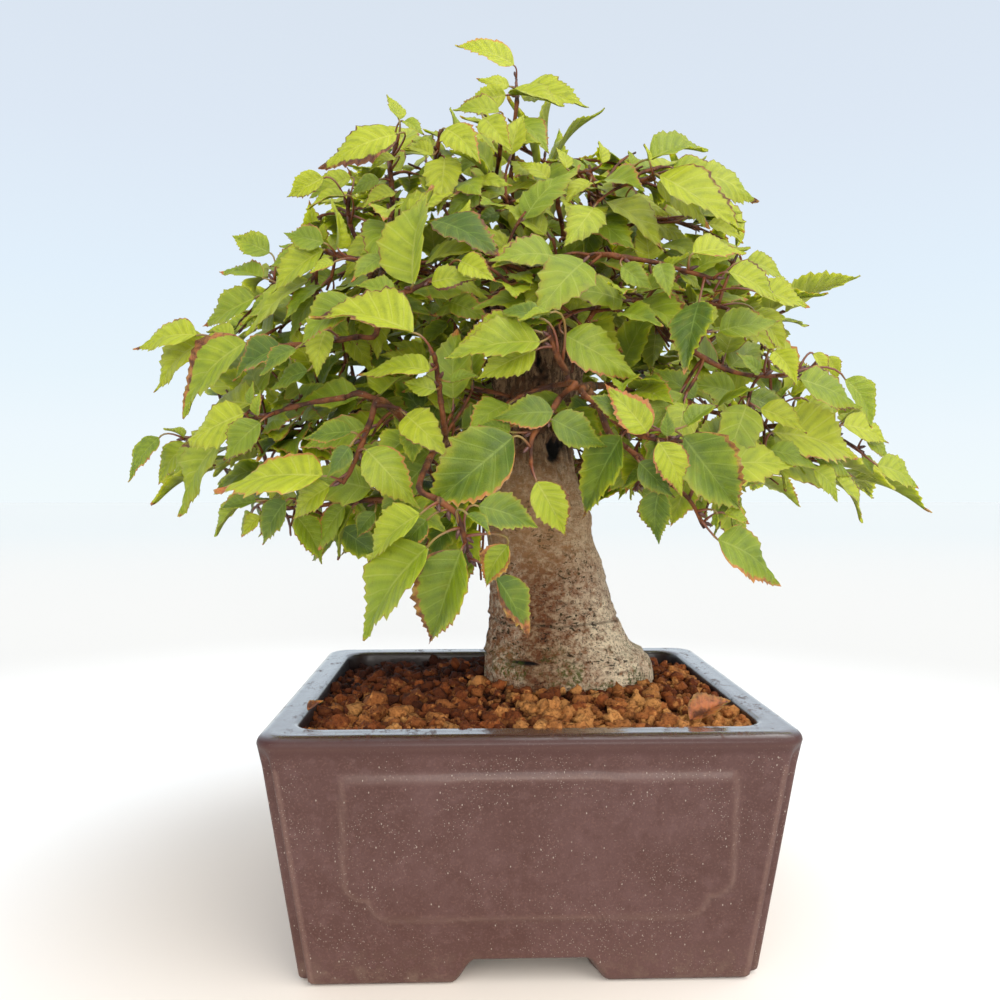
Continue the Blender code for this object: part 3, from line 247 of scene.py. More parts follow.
# A blade's finer form: the length at which its pleats and teeth have their stated size, its
# width by the share of its length, and each tooth's steps from one vein to the next
BLADE_LENGTH = 24.0
ROWS_PER_VEIN = 4
LEAF_SWEEP = 0.12
LEAF_SKIN = 0.13
PLEAT = 0.40
PLEAT_PROFILE = (0.0, 0.75, 1.0, 0.75)
BLADE_WIDTHS = ((0.0, 0.07), (0.03, 0.38), (0.08, 0.63), (0.15, 0.84), (0.24, 0.97), (0.33, 1.0),
                (0.42, 0.95), (0.52, 0.83), (0.62, 0.65), (0.72, 0.44), (0.80, 0.28), (0.87, 0.165),
                (0.93, 0.085), (0.97, 0.04), (1.0, 0.012))
TOOTH_OUT = (0.75, -0.35, 0.2, 0.0)
TOOTH_AHEAD = (0.42, 0.0, 0.2, 0.0)
# A petiole's radius by the share of its length, and a bud's rings: out from the twig, on along
# the bud, and radius
STALK_RADII = ((0.0, 0.44), (0.2, 0.32), (0.4, 0.27), (0.85, 0.28), (1.0, 0.20))
BUD_RINGS = ((0.5, 0.0, 0.35), (0.7, 0.7, 0.55), (0.8, 1.6, 0.42), (0.8, 2.3, 0.08))
# Radii of a shoot's twig at its root and its tip, thinner than its node's
SHOOT_RADII = (0.66 * TWIG_RADIUS, 0.40)

# Places of the materials in the list of a leafy piece and in that of the wood
STALK_LOOK = 2
BUD_LOOK = 3
TWIG_LOOK = 4
BARK_LOOK = 0
BRANCH_LOOK = 1
CUT_LOOK = 2

# Side shoots: how many leaves and tries, a leaf's width by its length, the frame's cells that are
# looked at, the limits of a side twig, and the chances that it aims before bare wood, into a gap
# or behind the head, each with the ones before it
INNER_SEED = 77
INNER_LEAVES = 960
INNER_TRIES = 9000
INNER_SHAPE = (0.52, 0.62)
CELL = 9
FAR_AWAY = 999.0
CROWN_FLOOR = 92.0
SIDE_TWIG_SHORTEST = 4.5
SIDE_TWIG_LONGEST = 34.0
SIDE_TWIG_RADII = (0.52, 0.34)
BEFORE_WOOD = 0.42
IN_OPEN_CELL = 0.74
BEHIND_HEAD = 0.84
# Leaves on the near side turn their face to the eye
FACE_TO_EYE = 0.9
NEAR_SIDE = 40.0
NEAR_FADE = 50.0

# Fallen leaves on the soil: base and tip as column, row and depth, then how browned they are
FALLEN = (
    ((692, 722, -47), (734, 702, -42), (1.2, 0.9, 0.9)),
    ((308, 709, -42), (324, 700, -40), (1.2, 0.9, 0.9)),
)
FALLEN_SEED = 44
FALLEN_FACE = Vector((-0.3, -0.6, 0.8))
FALLEN_LOOKS = (0.4, 0.9, 0.5)

# How each piece was seen: the eye's place, and the frame's scale and level point
EYE = Vector((-15.0, -286.0, 131.6))
EYE_COLUMN = 472.0
EYE_ROW = 490.0
EYE_FOCUS = 881.0
FRAME = 1000.0

# Where the working frame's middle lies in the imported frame
SHIFT = Vector((0.0, 0.0, 0.0))

# How bright a surface's own colour is for its colour as seen
LIGHT_SHARE = 0.62
# Soft tones, as the photograph has them
VIEW_GAMMA = 1.15
# Linear colours of the bark's palest skin, of the painted shade on its left side and of the sunlight
BARK_CREAM = (0.94, 0.755, 0.50, 1.0)
BARK_SHADE = (0.40, 0.275, 0.17, 1.0)
SUN_COLOUR = (1.0, 0.97, 0.91)
# Each sun: the way to it, its strength and its spread in degrees
SUNS = (((0.65, -0.45, 0.9), 2.6, 65.0), ((-0.3, -1.0, 0.3), 1.3, 60.0), ((0.12, -1.0, 0.12), 1.4, 25.0))
# The sky's colour at eye level, higher up, and where it changes no more
SKY_LEVEL = (241, 250, 253)
SKY_STOPS = ((0.06, (238, 248, 254)), (0.12, (232, 245, 253)), (0.22, (226, 240, 252)),
             (0.36, (221, 232, 245)))
SKY_TOP = (216, 226, 238)
SKY_TOP_AT = 0.55
# The floor in metres: its half size, how far the middle of its bands lies off the pot's towards the pot's
# shadow, its cloudy colours near the pot, then bands as start, end and colour; the paler first band is
# painted light that washes out the pot's shadow
FLOOR_HALF = 9.0
FLOOR_PAINTED_LIGHT_SHIFT = (0.04, 0.0, 0.0)
FLOOR_NEAR = ((0.86, 0.745, 0.635, 1.0), (0.88, 0.77, 0.66, 1.0))
FLOOR_BANDS = ((0.06, 0.19, (0.92, 0.895, 0.86, 1.0)), (0.20, 0.55, (0.645, 0.62, 0.585, 1.0)),
               (0.45, 3.0, (0.581, 0.601, 0.592, 1.0)))

# A leaf's turn about its own length, in degrees, where it isn't given as a number: seen on its
# face, slanting or nearly edge-on
TURN = {"face": 18.0, "slant": 48.0, "edge": 70.0}


def shoot(path, leaves, forward=0.0, depth=TWIG_DEPTH_AT_ROOT):
    """A twig: the points it passes, its leaves, how far it stands out of the dome, and how far
    its root lies behind its tip.

    Points are columns and rows of the 1000 x 1000 frame in which the plant was seen. A leaf is
    its base, its tip and its turn.
    """
    return {"path": path, "leaves": leaves, "forward": forward, "depth": depth}


SHOOTS = {
    "top": shoot([(512, 168), (514, 130), (517, 100), (516, 80)], [
        (514, 67, 455, 49, 56), (523, 90, 589, 108, 50), (510, 95, 564, 110, "edge"),
        (506, 97, 463, 103, "face"), (509, 88, 476, 82, "slant"), (517, 122, 549, 155, "slant"),
    ], depth=52),
    "crown": shoot([(496, 175), (500, 145), (492, 122)], [
        (499, 113, 453, 113, "slant"), (484, 120, 512, 152, "face"), (506, 142, 541, 144, "slant"),
        (488, 158, 455, 178, "slant"),
    ], forward=-12, depth=34),
    "crown_left": shoot([(440, 190), (437, 160), (441, 132)], [
        (446, 131, 481, 165, "face"), (433, 157, 405, 148, "slant"), (455, 130, 450, 110, "edge"),
        (445, 160, 437, 214, "face"), (431, 150, 412, 143, "slant"),
    ], depth=36),
    "left_top": shoot([(393, 200), (391, 168), (398, 146)], [
        (400, 122, 388, 97, "slant"), (405, 124, 425, 137, "slant"), (397, 137, 319, 170, 48),
        (395, 160, 370, 172, "slant"), (380, 182, 350, 197, 40), (396, 195, 364, 211, 44),
    ], depth=30),
    "left_mid_top": shoot([(362, 250), (350, 222), (350, 200)], [
        (352, 180, 312, 202, "slant"), (325, 181, 290, 201, 30), (345, 198, 307, 211, "edge"),
        (372, 212, 333, 228, 40), (375, 238, 343, 281, 36),
    ], forward=-16, depth=24),
    "left_upper": shoot([(372, 264), (340, 258), (318, 250)], [
        (325, 252, 272, 297, 47), (307, 257, 271, 269, "slant"), (325, 245, 286, 236, "face"),
        (339, 250, 336, 200, "edge"), (335, 264, 311, 275, "slant"), (383, 258, 352, 285, 40),
    ]),
    "left_outer_up": shoot([(335, 300), (303, 296), (272, 283)], [
        (272, 255, 236, 240, 20), (265, 280, 222, 273, 58), (257, 300, 207, 329, 46),
        (278, 299, 252, 319, "slant"), (330, 281, 302, 297, "slant"), (297, 303, 242, 327, "edge"),
        (299, 256, 281, 247, "slant"),
    ], forward=-20),
    "left_arm": shoot([(358, 338), (325, 343), (285, 347), (222, 344)], [
        (200, 337, 140, 354, 58), (211, 341, 158, 394, 54), (248, 344, 181, 422, 56),
        (285, 350, 233, 381, "slant"), (297, 350, 262, 377, "slant"), (236, 340, 209, 332, "slant"),
        (327, 332, 318, 378, "face"), (309, 372, 271, 390, "slant"),
    ]),
    "front_left_upper": shoot([(448, 275), (420, 287), (390, 299), (362, 306)], [
        (413, 285, 432, 167, 52), (432, 283, 476, 280, "face"), (395, 296, 357, 288, "slant"),
        (356, 304, 300, 347, 40), (461, 262, 497, 283, "face"),
    ], forward=4),
    "front_left_mid": shoot([(441, 402), (437, 372), (434, 353)], [
        (413, 333, 311, 321, 58), (430, 371, 357, 375, 62), (436, 390, 403, 383, "face"),
        (417, 318, 447, 368, 30), (450, 382, 480, 376, "slant"),
    ], forward=6),
    "left_low_arm": shoot([(345, 398), (305, 405), (265, 417), (238, 423)], [
        (375, 359, 308, 420, "edge"), (253, 405, 256, 382, "slant"), (259, 416, 262, 391, "slant"),
        (246, 414, 183, 446, 40), (262, 423, 225, 461, 20), (391, 396, 345, 384, "face"),
    ], forward=3),
    "left_tip": shoot([(240, 432), (215, 434), (188, 440)], [
        (163, 438, 134, 483, 54), (190, 445, 163, 485, "slant"), (200, 446, 176, 478, "slant"),
        (188, 437, 167, 430, "edge"), (228, 436, 174, 538, 58),
    ], forward=-14),
    "left_low": shoot([(372, 418), (362, 445), (352, 470), (343, 484)], [
        (323, 476, 203, 493, 59), (367, 450, 421, 508, 18), (331, 486, 291, 519, 30),
        (352, 432, 306, 440, "slant"), (350, 447, 327, 478, "face"), (300, 450, 248, 463, "slant"),
    ], forward=8),
    "left_bottom": shoot([(392, 500), (352, 501), (310, 507), (272, 508)], [
        (243, 503, 218, 537, "edge"), (258, 501, 222, 509, "slant"), (262, 516, 244, 537, 38),
        (287, 501, 262, 545, 40), (298, 516, 323, 564, 28), (345, 506, 318, 550, "slant"),
        (375, 512, 357, 538, "face"), (352, 508, 338, 560, "edge"),
    ], forward=-10),
    "front_low": shoot([(438, 500), (455, 513), (463, 532), (470, 562)], [
        (420, 514, 366, 563, "slant"), (427, 520, 402, 553, "face"), (427, 547, 367, 641, 47),
        (461, 550, 429, 644, 30), (508, 545, 485, 588, "face"), (497, 578, 526, 640, "slant"),
        (479, 506, 539, 528, "face"), (468, 514, 491, 534, "slant"),
    ], forward=26),
    "front_middle": shoot([(560, 398), (547, 418), (532, 438), (531, 466)], [
        (513, 437, 424, 509, 12), (537, 482, 565, 535, 12), (553, 412, 492, 418, "face"),
        (552, 419, 609, 446, "face"), (510, 432, 478, 424, "slant"),
    ], forward=10),
    "front_high": shoot([(566, 372), (556, 352), (548, 326)], [
        (540, 342, 445, 360, "slant"), (535, 350, 476, 379, "face"), (540, 318, 497, 310, "slant"),
        (550, 312, 518, 322, "edge"), (528, 331, 452, 345, "face"),
    ], forward=8),
    "front_upper": shoot([(505, 300), (478, 297), (455, 300)], [
        (450, 302, 492, 322, "face"), (443, 309, 452, 300, "slant"), (470, 290, 440, 262, "slant"),
    ], forward=-26),
    "front_right": shoot([(602, 300), (590, 318), (577, 340), (572, 372)], [
        (565, 335, 643, 378, 32), (568, 322, 601, 316, "slant"), (570, 392, 592, 383, "slant"),
        (596, 300, 560, 285, "slant"),
    ], forward=-8),
    "right_middle": shoot([(598, 405), (625, 427), (652, 438), (684, 441)], [
        (648, 432, 606, 382, "face"), (668, 436, 668, 409, "face"), (660, 442, 683, 497, "face"),
        (684, 436, 743, 510, "face"), (622, 436, 582, 520, 44), (630, 415, 588, 395, "face"),
        (688, 425, 720, 402, "slant"),
    ], forward=8),
    "right_low": shoot([(628, 448), (660, 474), (690, 499), (706, 528)], [
        (640, 462, 676, 498, "face"), (660, 490, 660, 545, "face"), (643, 470, 622, 489, "slant"),
        (720, 540, 784, 588, 43), (727, 513, 751, 525, "slant"), (719, 514, 717, 531, "slant"),
    ], forward=4),
    "right_upper": shoot([(622, 257), (652, 261), (683, 269), (716, 278)], [
        (700, 301, 684, 373, 33), (694, 252, 748, 252, 56), (661, 263, 672, 297, "face"),
        (680, 272, 704, 290, "slant"), (622, 266, 655, 290, "face"), (730, 271, 784, 299, 50),
    ], forward=4),
    "right_shoulder": shoot([(690, 302), (715, 304), (740, 312)], [
        (729, 313, 778, 352, "slant"), (757, 310, 787, 352, 40), (747, 262, 788, 278, "slant"),
        (758, 290, 812, 307, "slant"), (760, 300, 809, 319, "edge"),
    ], forward=-14),
    "right_top": shoot([(612, 185), (635, 180), (655, 178)], [
        (652, 158, 710, 146, 60), (650, 160, 645, 143, "edge"), (660, 175, 745, 232, 53),
        (658, 182, 712, 227, "slant"), (700, 172, 763, 198, 52), (632, 168, 628, 151, "slant"),
        (628, 200, 672, 214, "slant"),
    ], depth=36),
    "right_high": shoot([(610, 232), (640, 222), (668, 218)], [
        (640, 215, 690, 243, "slant"), (710, 222, 745, 242, "slant"), (645, 228, 628, 246, "face"),
        (615, 212, 645, 188, "slant"), (688, 215, 716, 184, "slant"),
    ], forward=-22, depth=30),
    "top_right": shoot([(562, 225), (558, 198), (573, 176), (592, 171)], [
        (602, 163, 600, 140, "slant"), (567, 169, 556, 147, "slant"), (548, 180, 517, 160, "slant"),
        (590, 182, 563, 206, "slant"), (545, 194, 527, 178, "edge"),
    ], forward=-14, depth=34),
    "upper_middle": shoot([(530, 235), (516, 215), (505, 202)], [
        (503, 196, 477, 181, "slant"), (516, 201, 560, 218, "edge"), (499, 213, 474, 225, "face"),
        (478, 195, 445, 220, "face"), (537, 236, 565, 218, "slant"),
    ], forward=-26, depth=26),
    "upper_left_middle": shoot([(500, 262), (472, 246), (448, 232)], [
        (436, 222, 503, 262, 48), (452, 232, 426, 224, "slant"), (522, 248, 503, 266, "slant"),
        (462, 226, 470, 200, "slant"),
    ], forward=-12, depth=26),
    "upper_right_middle": shoot([(586, 262), (598, 245), (604, 222)], [
        (600, 240, 567, 225, "face"), (604, 246, 619, 230, "slant"), (588, 254, 566, 276, "face"),
        (604, 212, 600, 186, "edge"),
    ], forward=-34, depth=20),
    "right_arm": shoot([(690, 348), (720, 365), (750, 374), (786, 374), (816, 366)], [
        (762, 372, 738, 352, "slant"), (817, 352, 832, 376, "slant"), (832, 355, 842, 380, 30),
        (850, 378, 877, 428, 52), (803, 378, 867, 407, "slant"), (777, 350, 800, 385, "face"),
    ]),
    "right_mid": shoot([(682, 398), (716, 412), (748, 412), (778, 408)], [
        (722, 416, 768, 447, "face"), (750, 396, 796, 425, 42), (737, 393, 686, 384, "face"),
        (812, 400, 849, 440, "slant"), (782, 398, 798, 382, "edge"),
    ], forward=-24),
    "right_low_arm": shoot([(728, 446), (765, 456), (797, 459), (820, 466)], [
        (776, 432, 862, 459, 35), (773, 450, 823, 468, "slant"), (818, 455, 858, 476, "slant"),
        (818, 469, 845, 502, "slant"), (839, 478, 870, 523, 48), (779, 458, 788, 492, "edge"),
        (742, 453, 762, 480, "face"),
    ], forward=-10),
    "right_tip": shoot([(812, 428), (840, 436), (868, 452)], [
        (848, 424, 894, 443, "slant"), (845, 420, 886, 411, "edge"), (870, 437, 897, 457, "slant"),
        (868, 456, 879, 474, "slant"), (883, 465, 927, 488, 50),
    ], forward=-18),
}

# Shoots of the crown's far half, which follow a rule: rise over the crown's widest level,
# first and last bearing round the trunk, how many, and how near their tips come to the dome
FAR_RINGS = (
    (-6.0, -14.0, 194.0, 7, 0.90),
    (27.0, -2.0, 182.0, 6, 0.80),
    (56.0, 12.0, 168.0, 4, 0.88),
    (78.0, -70.0, 170.0, 3, 0.84),
)
FAR_TWIG_LENGTH = 0.28
FAR_TWIG_SWAY = 9.0
FAR_ANGLE_SPREAD = 5.0
FAR_LEAVES = 6
FIRST_FAR_LEAF = 0.16
FAR_LEAF_SPAN = 0.82
FAR_TRIES = 24
FAR_SEED = 5

# Sawn stubs and a cut leader that carry no leaves: points with their depth, root and end radius
CUT_BRANCHES = {
    "cut_leader": ([(540, 290, 8), (520, 245, 3), (497, 215, 0), (457, 177, -4)], 3.0, 1.3),
    "sawn_left": ([(560, 300, 8), (530, 285, 0), (492, 275, -6)], 2.4, 1.9),
    "sawn_right": ([(560, 297, 10), (612, 322, 0), (640, 337, -4)], 3.4, 2.8),
}


def seen(column, row, back):
    """The point that shows at a column and row, so far behind the middle of the pot."""
    reach = (back - EYE.y) / EYE_FOCUS
    x = EYE.x + (column - EYE_COLUMN) * reach
    z = EYE.z - (row - EYE_ROW) * reach
    return Vector((x, back, z))


def dome_share(point):
    """1 on the crown's outer face, less inside it."""
    offset = point - CROWN_MIDDLE
    height = CROWN_REACH.z if offset.z > 0.0 else CROWN_DROP
    scaled = Vector((offset.x / CROWN_REACH.x, offset.y / CROWN_REACH.y, offset.z / height))
    return scaled.length


def dome_back(column, row):
    """How far back the crown's near face lies at a column and row."""
    back = CROWN_MIDDLE.y - CROWN_REACH.y
    while back < CROWN_MIDDLE.y:
        if dome_share(seen(column, row, back)) <= 1.0:
            return back
        back += 1.0
    return CROWN_MIDDLE.y


def curve_at(before, start, stop, after, t):
    """A smooth curve's place between start and stop, for vectors and for arrays."""
    pull = (stop - before) * t
    bend = (before * 2.0 - start * 5.0 + stop * 4.0 - after) * (t * t)
    close = (start * 3.0 - before - stop * 3.0 + after) * (t * t * t)
    return start + (pull + bend + close) * 0.5


def smooth_path(points, steps):
    """Points along one smooth curve through the given points."""
    ends = [points[0] * 2.0 - points[1]] + list(points) + [points[-1] * 2.0 - points[-2]]
    path = []
    for index in range(len(points) - 1):
        path += [curve_at(*ends[index:index + 4], step / steps) for step in range(steps)]
    path.append(points[-1].copy())
    return path


def tube(path, radii, sides):
    """A tapered tube with flat ends: its corners and faces."""
    rings = []
    side = (path[1] - path[0]).orthogonal().normalized()
    for index, place in enumerate(path):
        along = path[min(index + 1, len(path) - 1)] - path[max(index - 1, 0)]
        along.normalize()
        side = (side - along * side.dot(along)).normalized()
        other = along.cross(side)
        ring = []
        for turn in range(sides):
            angle = math.tau * turn / sides
            spoke = side * math.cos(angle) + other * math.sin(angle)
            ring.append(place + spoke * radii[index])
        rings.append(ring)
    return loft(rings)


def taper(first, last, count):
    """Radii that go evenly from one end's to the other's."""
    return [first + (last - first) * index / (count - 1) for index in range(count)]


def ring_faces(rings, count):
    """The quads between rings with equal numbers of corners."""
    faces = []
    for first in range(0, (rings - 1) * count, count):
        for index in range(count):
            here = first + index
            beside = first + (index + 1) % count
            faces.append((here, beside, beside + count, here + count))
    return faces


def loft(rings):
    """A solid through rings with equal numbers of corners, from the lowest to the highest."""
    count = len(rings[0])
    corners = [corner for ring in rings for corner in ring]
    bottom = tuple(reversed(range(count)))
    top = tuple(range(len(corners) - count, len(corners)))
    return corners, ring_faces(len(rings), count) + [bottom, top]


def body_half(top_half, height):
    """Half the body's width at a height, from the same half at the rim."""
    return top_half - RIM_OVERHANG - BODY_TAPER * (1.0 - height / RIM_TOP)


def soil_height(x, y):
    """The soil's level without its grains: a low mound round the trunk."""
    trunk = TRUNK_RINGS[0]
    away = math.hypot(x - trunk[1], y - trunk[2])
    return SOIL_LEVEL + SOIL_MOUND * math.exp(-((away / SOIL_MOUND_REACH) ** 2))


def trunk_outline(ring):
    """One plain ellipse of the trunk, as corners."""
    height, middle_x, middle_y, half_x, half_y = ring[:5]
    corners = []
    for turn in range(TRUNK_SIDES):
        angle = math.tau * turn / TRUNK_SIDES
        x = middle_x + half_x * math.cos(angle)
        y = middle_y + half_y * math.sin(angle)
        corners.append((x, y, height))
    return corners


def lumpy_ring(ring, draw):
    """A ring of the trunk with its bark lumps and root ridges."""
    middle_x, middle_y, lumps = ring[1], ring[2], ring[5]
    corners = []
    for x, y, z in trunk_outline(ring):
        swell = 1.0 + lumps * draw.uniform(-1.0, 1.0)
        lift = lumps * draw.uniform(-LUMP_LIFT, LUMP_LIFT)
        corners.append((middle_x + (x - middle_x) * swell, middle_y + (y - middle_y) * swell, z + lift))
    return corners


def trunk_shape():
    """The trunk from its hidden root end up to the knobbed head."""
    draw = random.Random(TRUNK_SEED)
    return loft([lumpy_ring(ring, draw) for ring in TRUNK_RINGS])


def twig_points(plan, lean):
    """A shoot's twig in the round: just under the dome at its tip and deeper at its root."""
    points = []
    last = len(plan["path"]) - 1
    for index, (column, row) in enumerate(plan["path"]):
        share = index / last
        depth = plan["depth"] + (TWIG_DEPTH_AT_TIP - plan["depth"]) * share
        back = dome_back(column, row) + depth - plan["forward"] + lean
        points.append(seen(column, row, back))
    return points


def dome_spoke(bearing, rise):
    """The way from the crown's middle to its outer face, by bearing and rise in radians."""
    out = Vector((math.cos(bearing) * math.cos(rise), math.sin(bearing) * math.cos(rise), math.sin(rise)))
    height = CROWN_REACH.z if out.z > 0.0 else CROWN_DROP
    return Vector((CROWN_REACH.x * out.x, CROWN_REACH.y * out.y, height * out.z))


def far_twig(middle_bearing, height_angle, tip_share, draw):
    """A twig of the far half, which runs out to the dome and levels off near its tip."""
    bearing = math.radians(middle_bearing)
    reach = dome_spoke(bearing, math.radians(height_angle))
    sideways = Vector((-math.sin(bearing), math.cos(bearing), 0.0))
    side = sideways * draw.uniform(-FAR_TWIG_SWAY, FAR_TWIG_SWAY)
    root = CROWN_MIDDLE + reach * (tip_share - FAR_TWIG_LENGTH) + Vector((0.0, 0.0, 4.0))
    tip = CROWN_MIDDLE + reach * tip_share + side
    bend = (root + tip) * 0.5 + side * 0.3 + Vector((0.0, 0.0, 3.0))
    return [root, bend, tip]


def far_shoots():
    """The twigs of the far half, ring by ring."""
    draw = random.Random(FAR_SEED)
    twigs = {}
    for level, (rise, first, last, count, tip_share) in enumerate(FAR_RINGS):
        for index in range(count):
            bearing = first + (last - first) * index / (count - 1)
            bearing += draw.uniform(-FAR_ANGLE_SPREAD, FAR_ANGLE_SPREAD)
            angle = rise + draw.uniform(-FAR_ANGLE_SPREAD, FAR_ANGLE_SPREAD)
            twigs[f"far_{level}_{index}"] = far_twig(bearing, angle, tip_share, draw)
    return twigs


def clear_of(path, taken, clearance):
    """Whether a path keeps its distance from the points already taken."""
    return all(taken.find(point)[2] >= clearance for point in path)


def point_cloud(paths):
    """All points of some paths, ready to be searched."""
    cloud = KDTree(sum(len(path) for path in paths) + 1)
    for path in paths:
        for point in path:
            cloud.insert(point, 0)
    cloud.insert(Vector((0.0, 0.0, -1000.0)), 0)
    cloud.balance()
    return cloud


def place_twigs():
    """Every twig's smooth path, each leaned back or forward until it clears the others."""
    twigs = {}
    for name, plan in SHOOTS.items():
        cloud = point_cloud(twigs.values())
        for lean in (0, 3, -3, 6, -6, 9, -9, 12, 16):
            path = smooth_path(twig_points(plan, lean), 6)
            if clear_of(path, cloud, BRANCH_CLEARANCE):
                break
        twigs[name] = path
    for name, points in far_shoots().items():
        twigs[name] = smooth_path(points, 8)
    return twigs


def trunk_knots():
    """Places on the trunk's axis where a branch may start."""
    return [{"place": Vector((x, y, height)), "along": Vector(), "reach": 0.0, "owner": None, "used": 0}
            for height, x, y, *_ in TRUNK_RINGS[:-1] if height > LOWEST_BRANCH]


def branch_route(start, twig):
    """A branch's points from a knot out to the root of a twig."""
    root = twig[0]
    along = (twig[1] - twig[0]).normalized()
    last = root - along * BRANCH_END
    span = last - start
    bend = start + span * 0.5 + Vector((0.0, 0.0, BRANCH_ARCH * span.length))
    points = [start, bend, last, root - along * GAP]
    return smooth_path(points, 4)


def grow_branches(twigs):
    """Join every twig to the trunk or to an earlier branch by the shortest clear way."""
    knots = trunk_knots()
    head = knots[-2]["place"]
    branches = {}
    order = sorted(twigs, key=lambda name: (twigs[name][0] - head).length)
    for name in order:
        others = point_cloud([path for other, path in twigs.items() if other != name])
        choices = []
        for index, knot in enumerate(knots):
            span = twigs[name][0] - knot["place"]
            beside = max(0.0, span.normalized().dot(knot["along"]) - PARALLEL_FROM)
            cost = span.length + REACH_COST * knot["reach"] + FALL_COST * max(0.0, -span.z)
            cost += PARALLEL_COST * beside + USED_COST * knot["used"]
            choices.append((cost, index))
        choices.sort()
        for cost, index in choices:
            route = branch_route(knots[index]["place"], twigs[name])
            if clear_of(route, others, BRANCH_CLEARANCE):
                break
        branches[name] = (index, route)
        knots[index]["used"] += 1 if knots[index]["owner"] else 0
        knots.extend(new_knots(name, knots[index], branch_line(route)))
    return knots, branches


def branch_line(route):
    """The few points that a branch is modelled through."""
    span = (route[-1] - route[0]).length
    picked = (0, 4, 8, 12) if span > SHORT_BRANCH else (0, 8, 12)
    return [route[index] for index in picked]


def new_knots(name, start, line):
    """Places along a branch, short of its end, where a later one may start."""
    added = []
    reach = start["reach"]
    for begin, stop in zip(line, line[1:]):
        step = stop - begin
        for share in (0.5, 1.0):
            added.append({"place": begin.lerp(stop, share), "along": step.normalized(),
                          "reach": reach + step.length * share, "owner": name, "used": 0})
        reach += step.length
    return added[:-3]


def branch_loads(knots, branches):
    """How many shoots each branch carries, its own among them."""
    loads = {name: 1 for name in branches}
    for name in reversed(list(branches)):
        owner = knots[branches[name][0]]["owner"]
        if owner:
            loads[owner] += loads[name]
    return loads


def branch_tube(route, load):
    """A branch that tapers to its twig's thickness."""
    line = branch_line(route)
    root = TWIG_RADIUS * (1.0 + load) ** BRANCH_GROWTH
    return tube(line, taper(root, TWIG_RADIUS, len(line)), BRANCH_SIDES if load > 2 else TWIG_SIDES)


def wood_shapes(knots, branches):
    """The trunk, the branches and the sawn stubs, still apart."""
    loads = branch_loads(knots, branches)
    shapes = [trunk_shape()]
    for name, (_, route) in branches.items():
        shapes.append(branch_tube(route, loads[name]))
    for points, root_radius, end_radius in CUT_BRANCHES.values():
        path = smooth_path([seen(*point) for point in points], 2)
        shapes.append(tube(path, taper(root_radius, end_radius, len(path)), BRANCH_SIDES))
    return shapes


def twig_line(path):
    """The few points that a twig is modelled through."""
    last = len(path) - 1
    span = sum((stop - start).length for start, stop in zip(path, path[1:]))
    bends = TWIG_BENDS if span > LONG_TWIG else TWIG_BENDS - 1
    return [path[round(last * index / bends)] for index in range(bends + 1)]


def twig_shape(path):
    """A shoot's own twig."""
    picked = twig_line(path)
    return tube(picked, taper(TWIG_RADIUS, TWIG_TIP_RADIUS, len(picked)), TWIG_SIDES)


def free_roots(line, leaf, roots):
    """The places on a twig nearest to a leaf's base that lie behind it and are still free."""
    base = leaf["base"]
    ahead = (leaf["tip"] - base).normalized()
    places = []
    for start, stop in zip(line, line[1:]):
        steps = max(2, round(2.0 * (stop - start).length / ROOT_SPACING))
        places += [start.lerp(stop, (step + 0.5) / steps) for step in range(steps)]
    free = [place for place in places if all((place - root).length > ROOT_SPACING for root in roots)]
    behind = [place for place in free if (base - place).normalized().dot(ahead) > ROOT_BEHIND]
    return sorted(behind, key=lambda place: (place - base).length)[:ROOT_CHOICES]


def faces_met(leaf, tree):
    """How many pairs of faces a leaf and its twig share; many where it meets none at all."""
    return len(BVHTree.FromPolygons(*leaf_shape(leaf)).overlap(tree)) or 100


def take_root(leaf, line, roots, twig_tree):
    """Give a leaf the free place on its twig that its petiole meets most plainly, if any."""
    choices = []
    for root in free_roots(line, leaf, roots):
        leaf["root"] = root
        choices.append((faces_met(leaf, twig_tree), len(choices), root))
    if choices:
        leaf["root"] = min(choices)[2]
    return bool(choices)


def leaf_frame(base, tip, up):
    """Length and axes of a leaf: along it, across it and out of its face."""
    along = tip - base
    length = along.length
    along.normalize()
    face = (up - along * up.dot(along)).normalized()
    return length, along, face.cross(along), face


def leaf_points(leaf, swell=0.0):
    """A blade's outline and midrib points; the outline starts at the petiole on one side."""
    length, along, across, face = leaf_frame(leaf["base"], leaf["tip"], leaf["face"])
    half = leaf["half_width"] + swell
    outline = []
    for side in (1.0, -1.0):
        teeth = LARGE_OUTLINE if length >= LARGE_LEAF else SMALL_OUTLINE
        points = [(0.0, PETIOLE_HALF)] + [(t, width * half) for t, width in teeth]
        rim = []
        for t, width in points:
            rise = LEAF_ARCH * length * math.sin(math.pi * min(t * 1.1, 1.0)) + LEAF_FOLD * width
            rim.append(leaf["base"] + along * (t * length) + across * (side * width) + face * rise)
        outline.append(rim)
    tip = leaf["tip"] + along * swell
    ridge = leaf["base"] + along * (0.44 * length) + face * (LEAF_ARCH * length)
    return outline[0] + [tip] + list(reversed(outline[1])), ridge, face


def petiole_room(first, last, ridge, root):
    """Six times the signed volume of a petiole that hangs from the blade's base and midrib."""
    return (first - ridge).dot((last - ridge).cross(root - ridge))


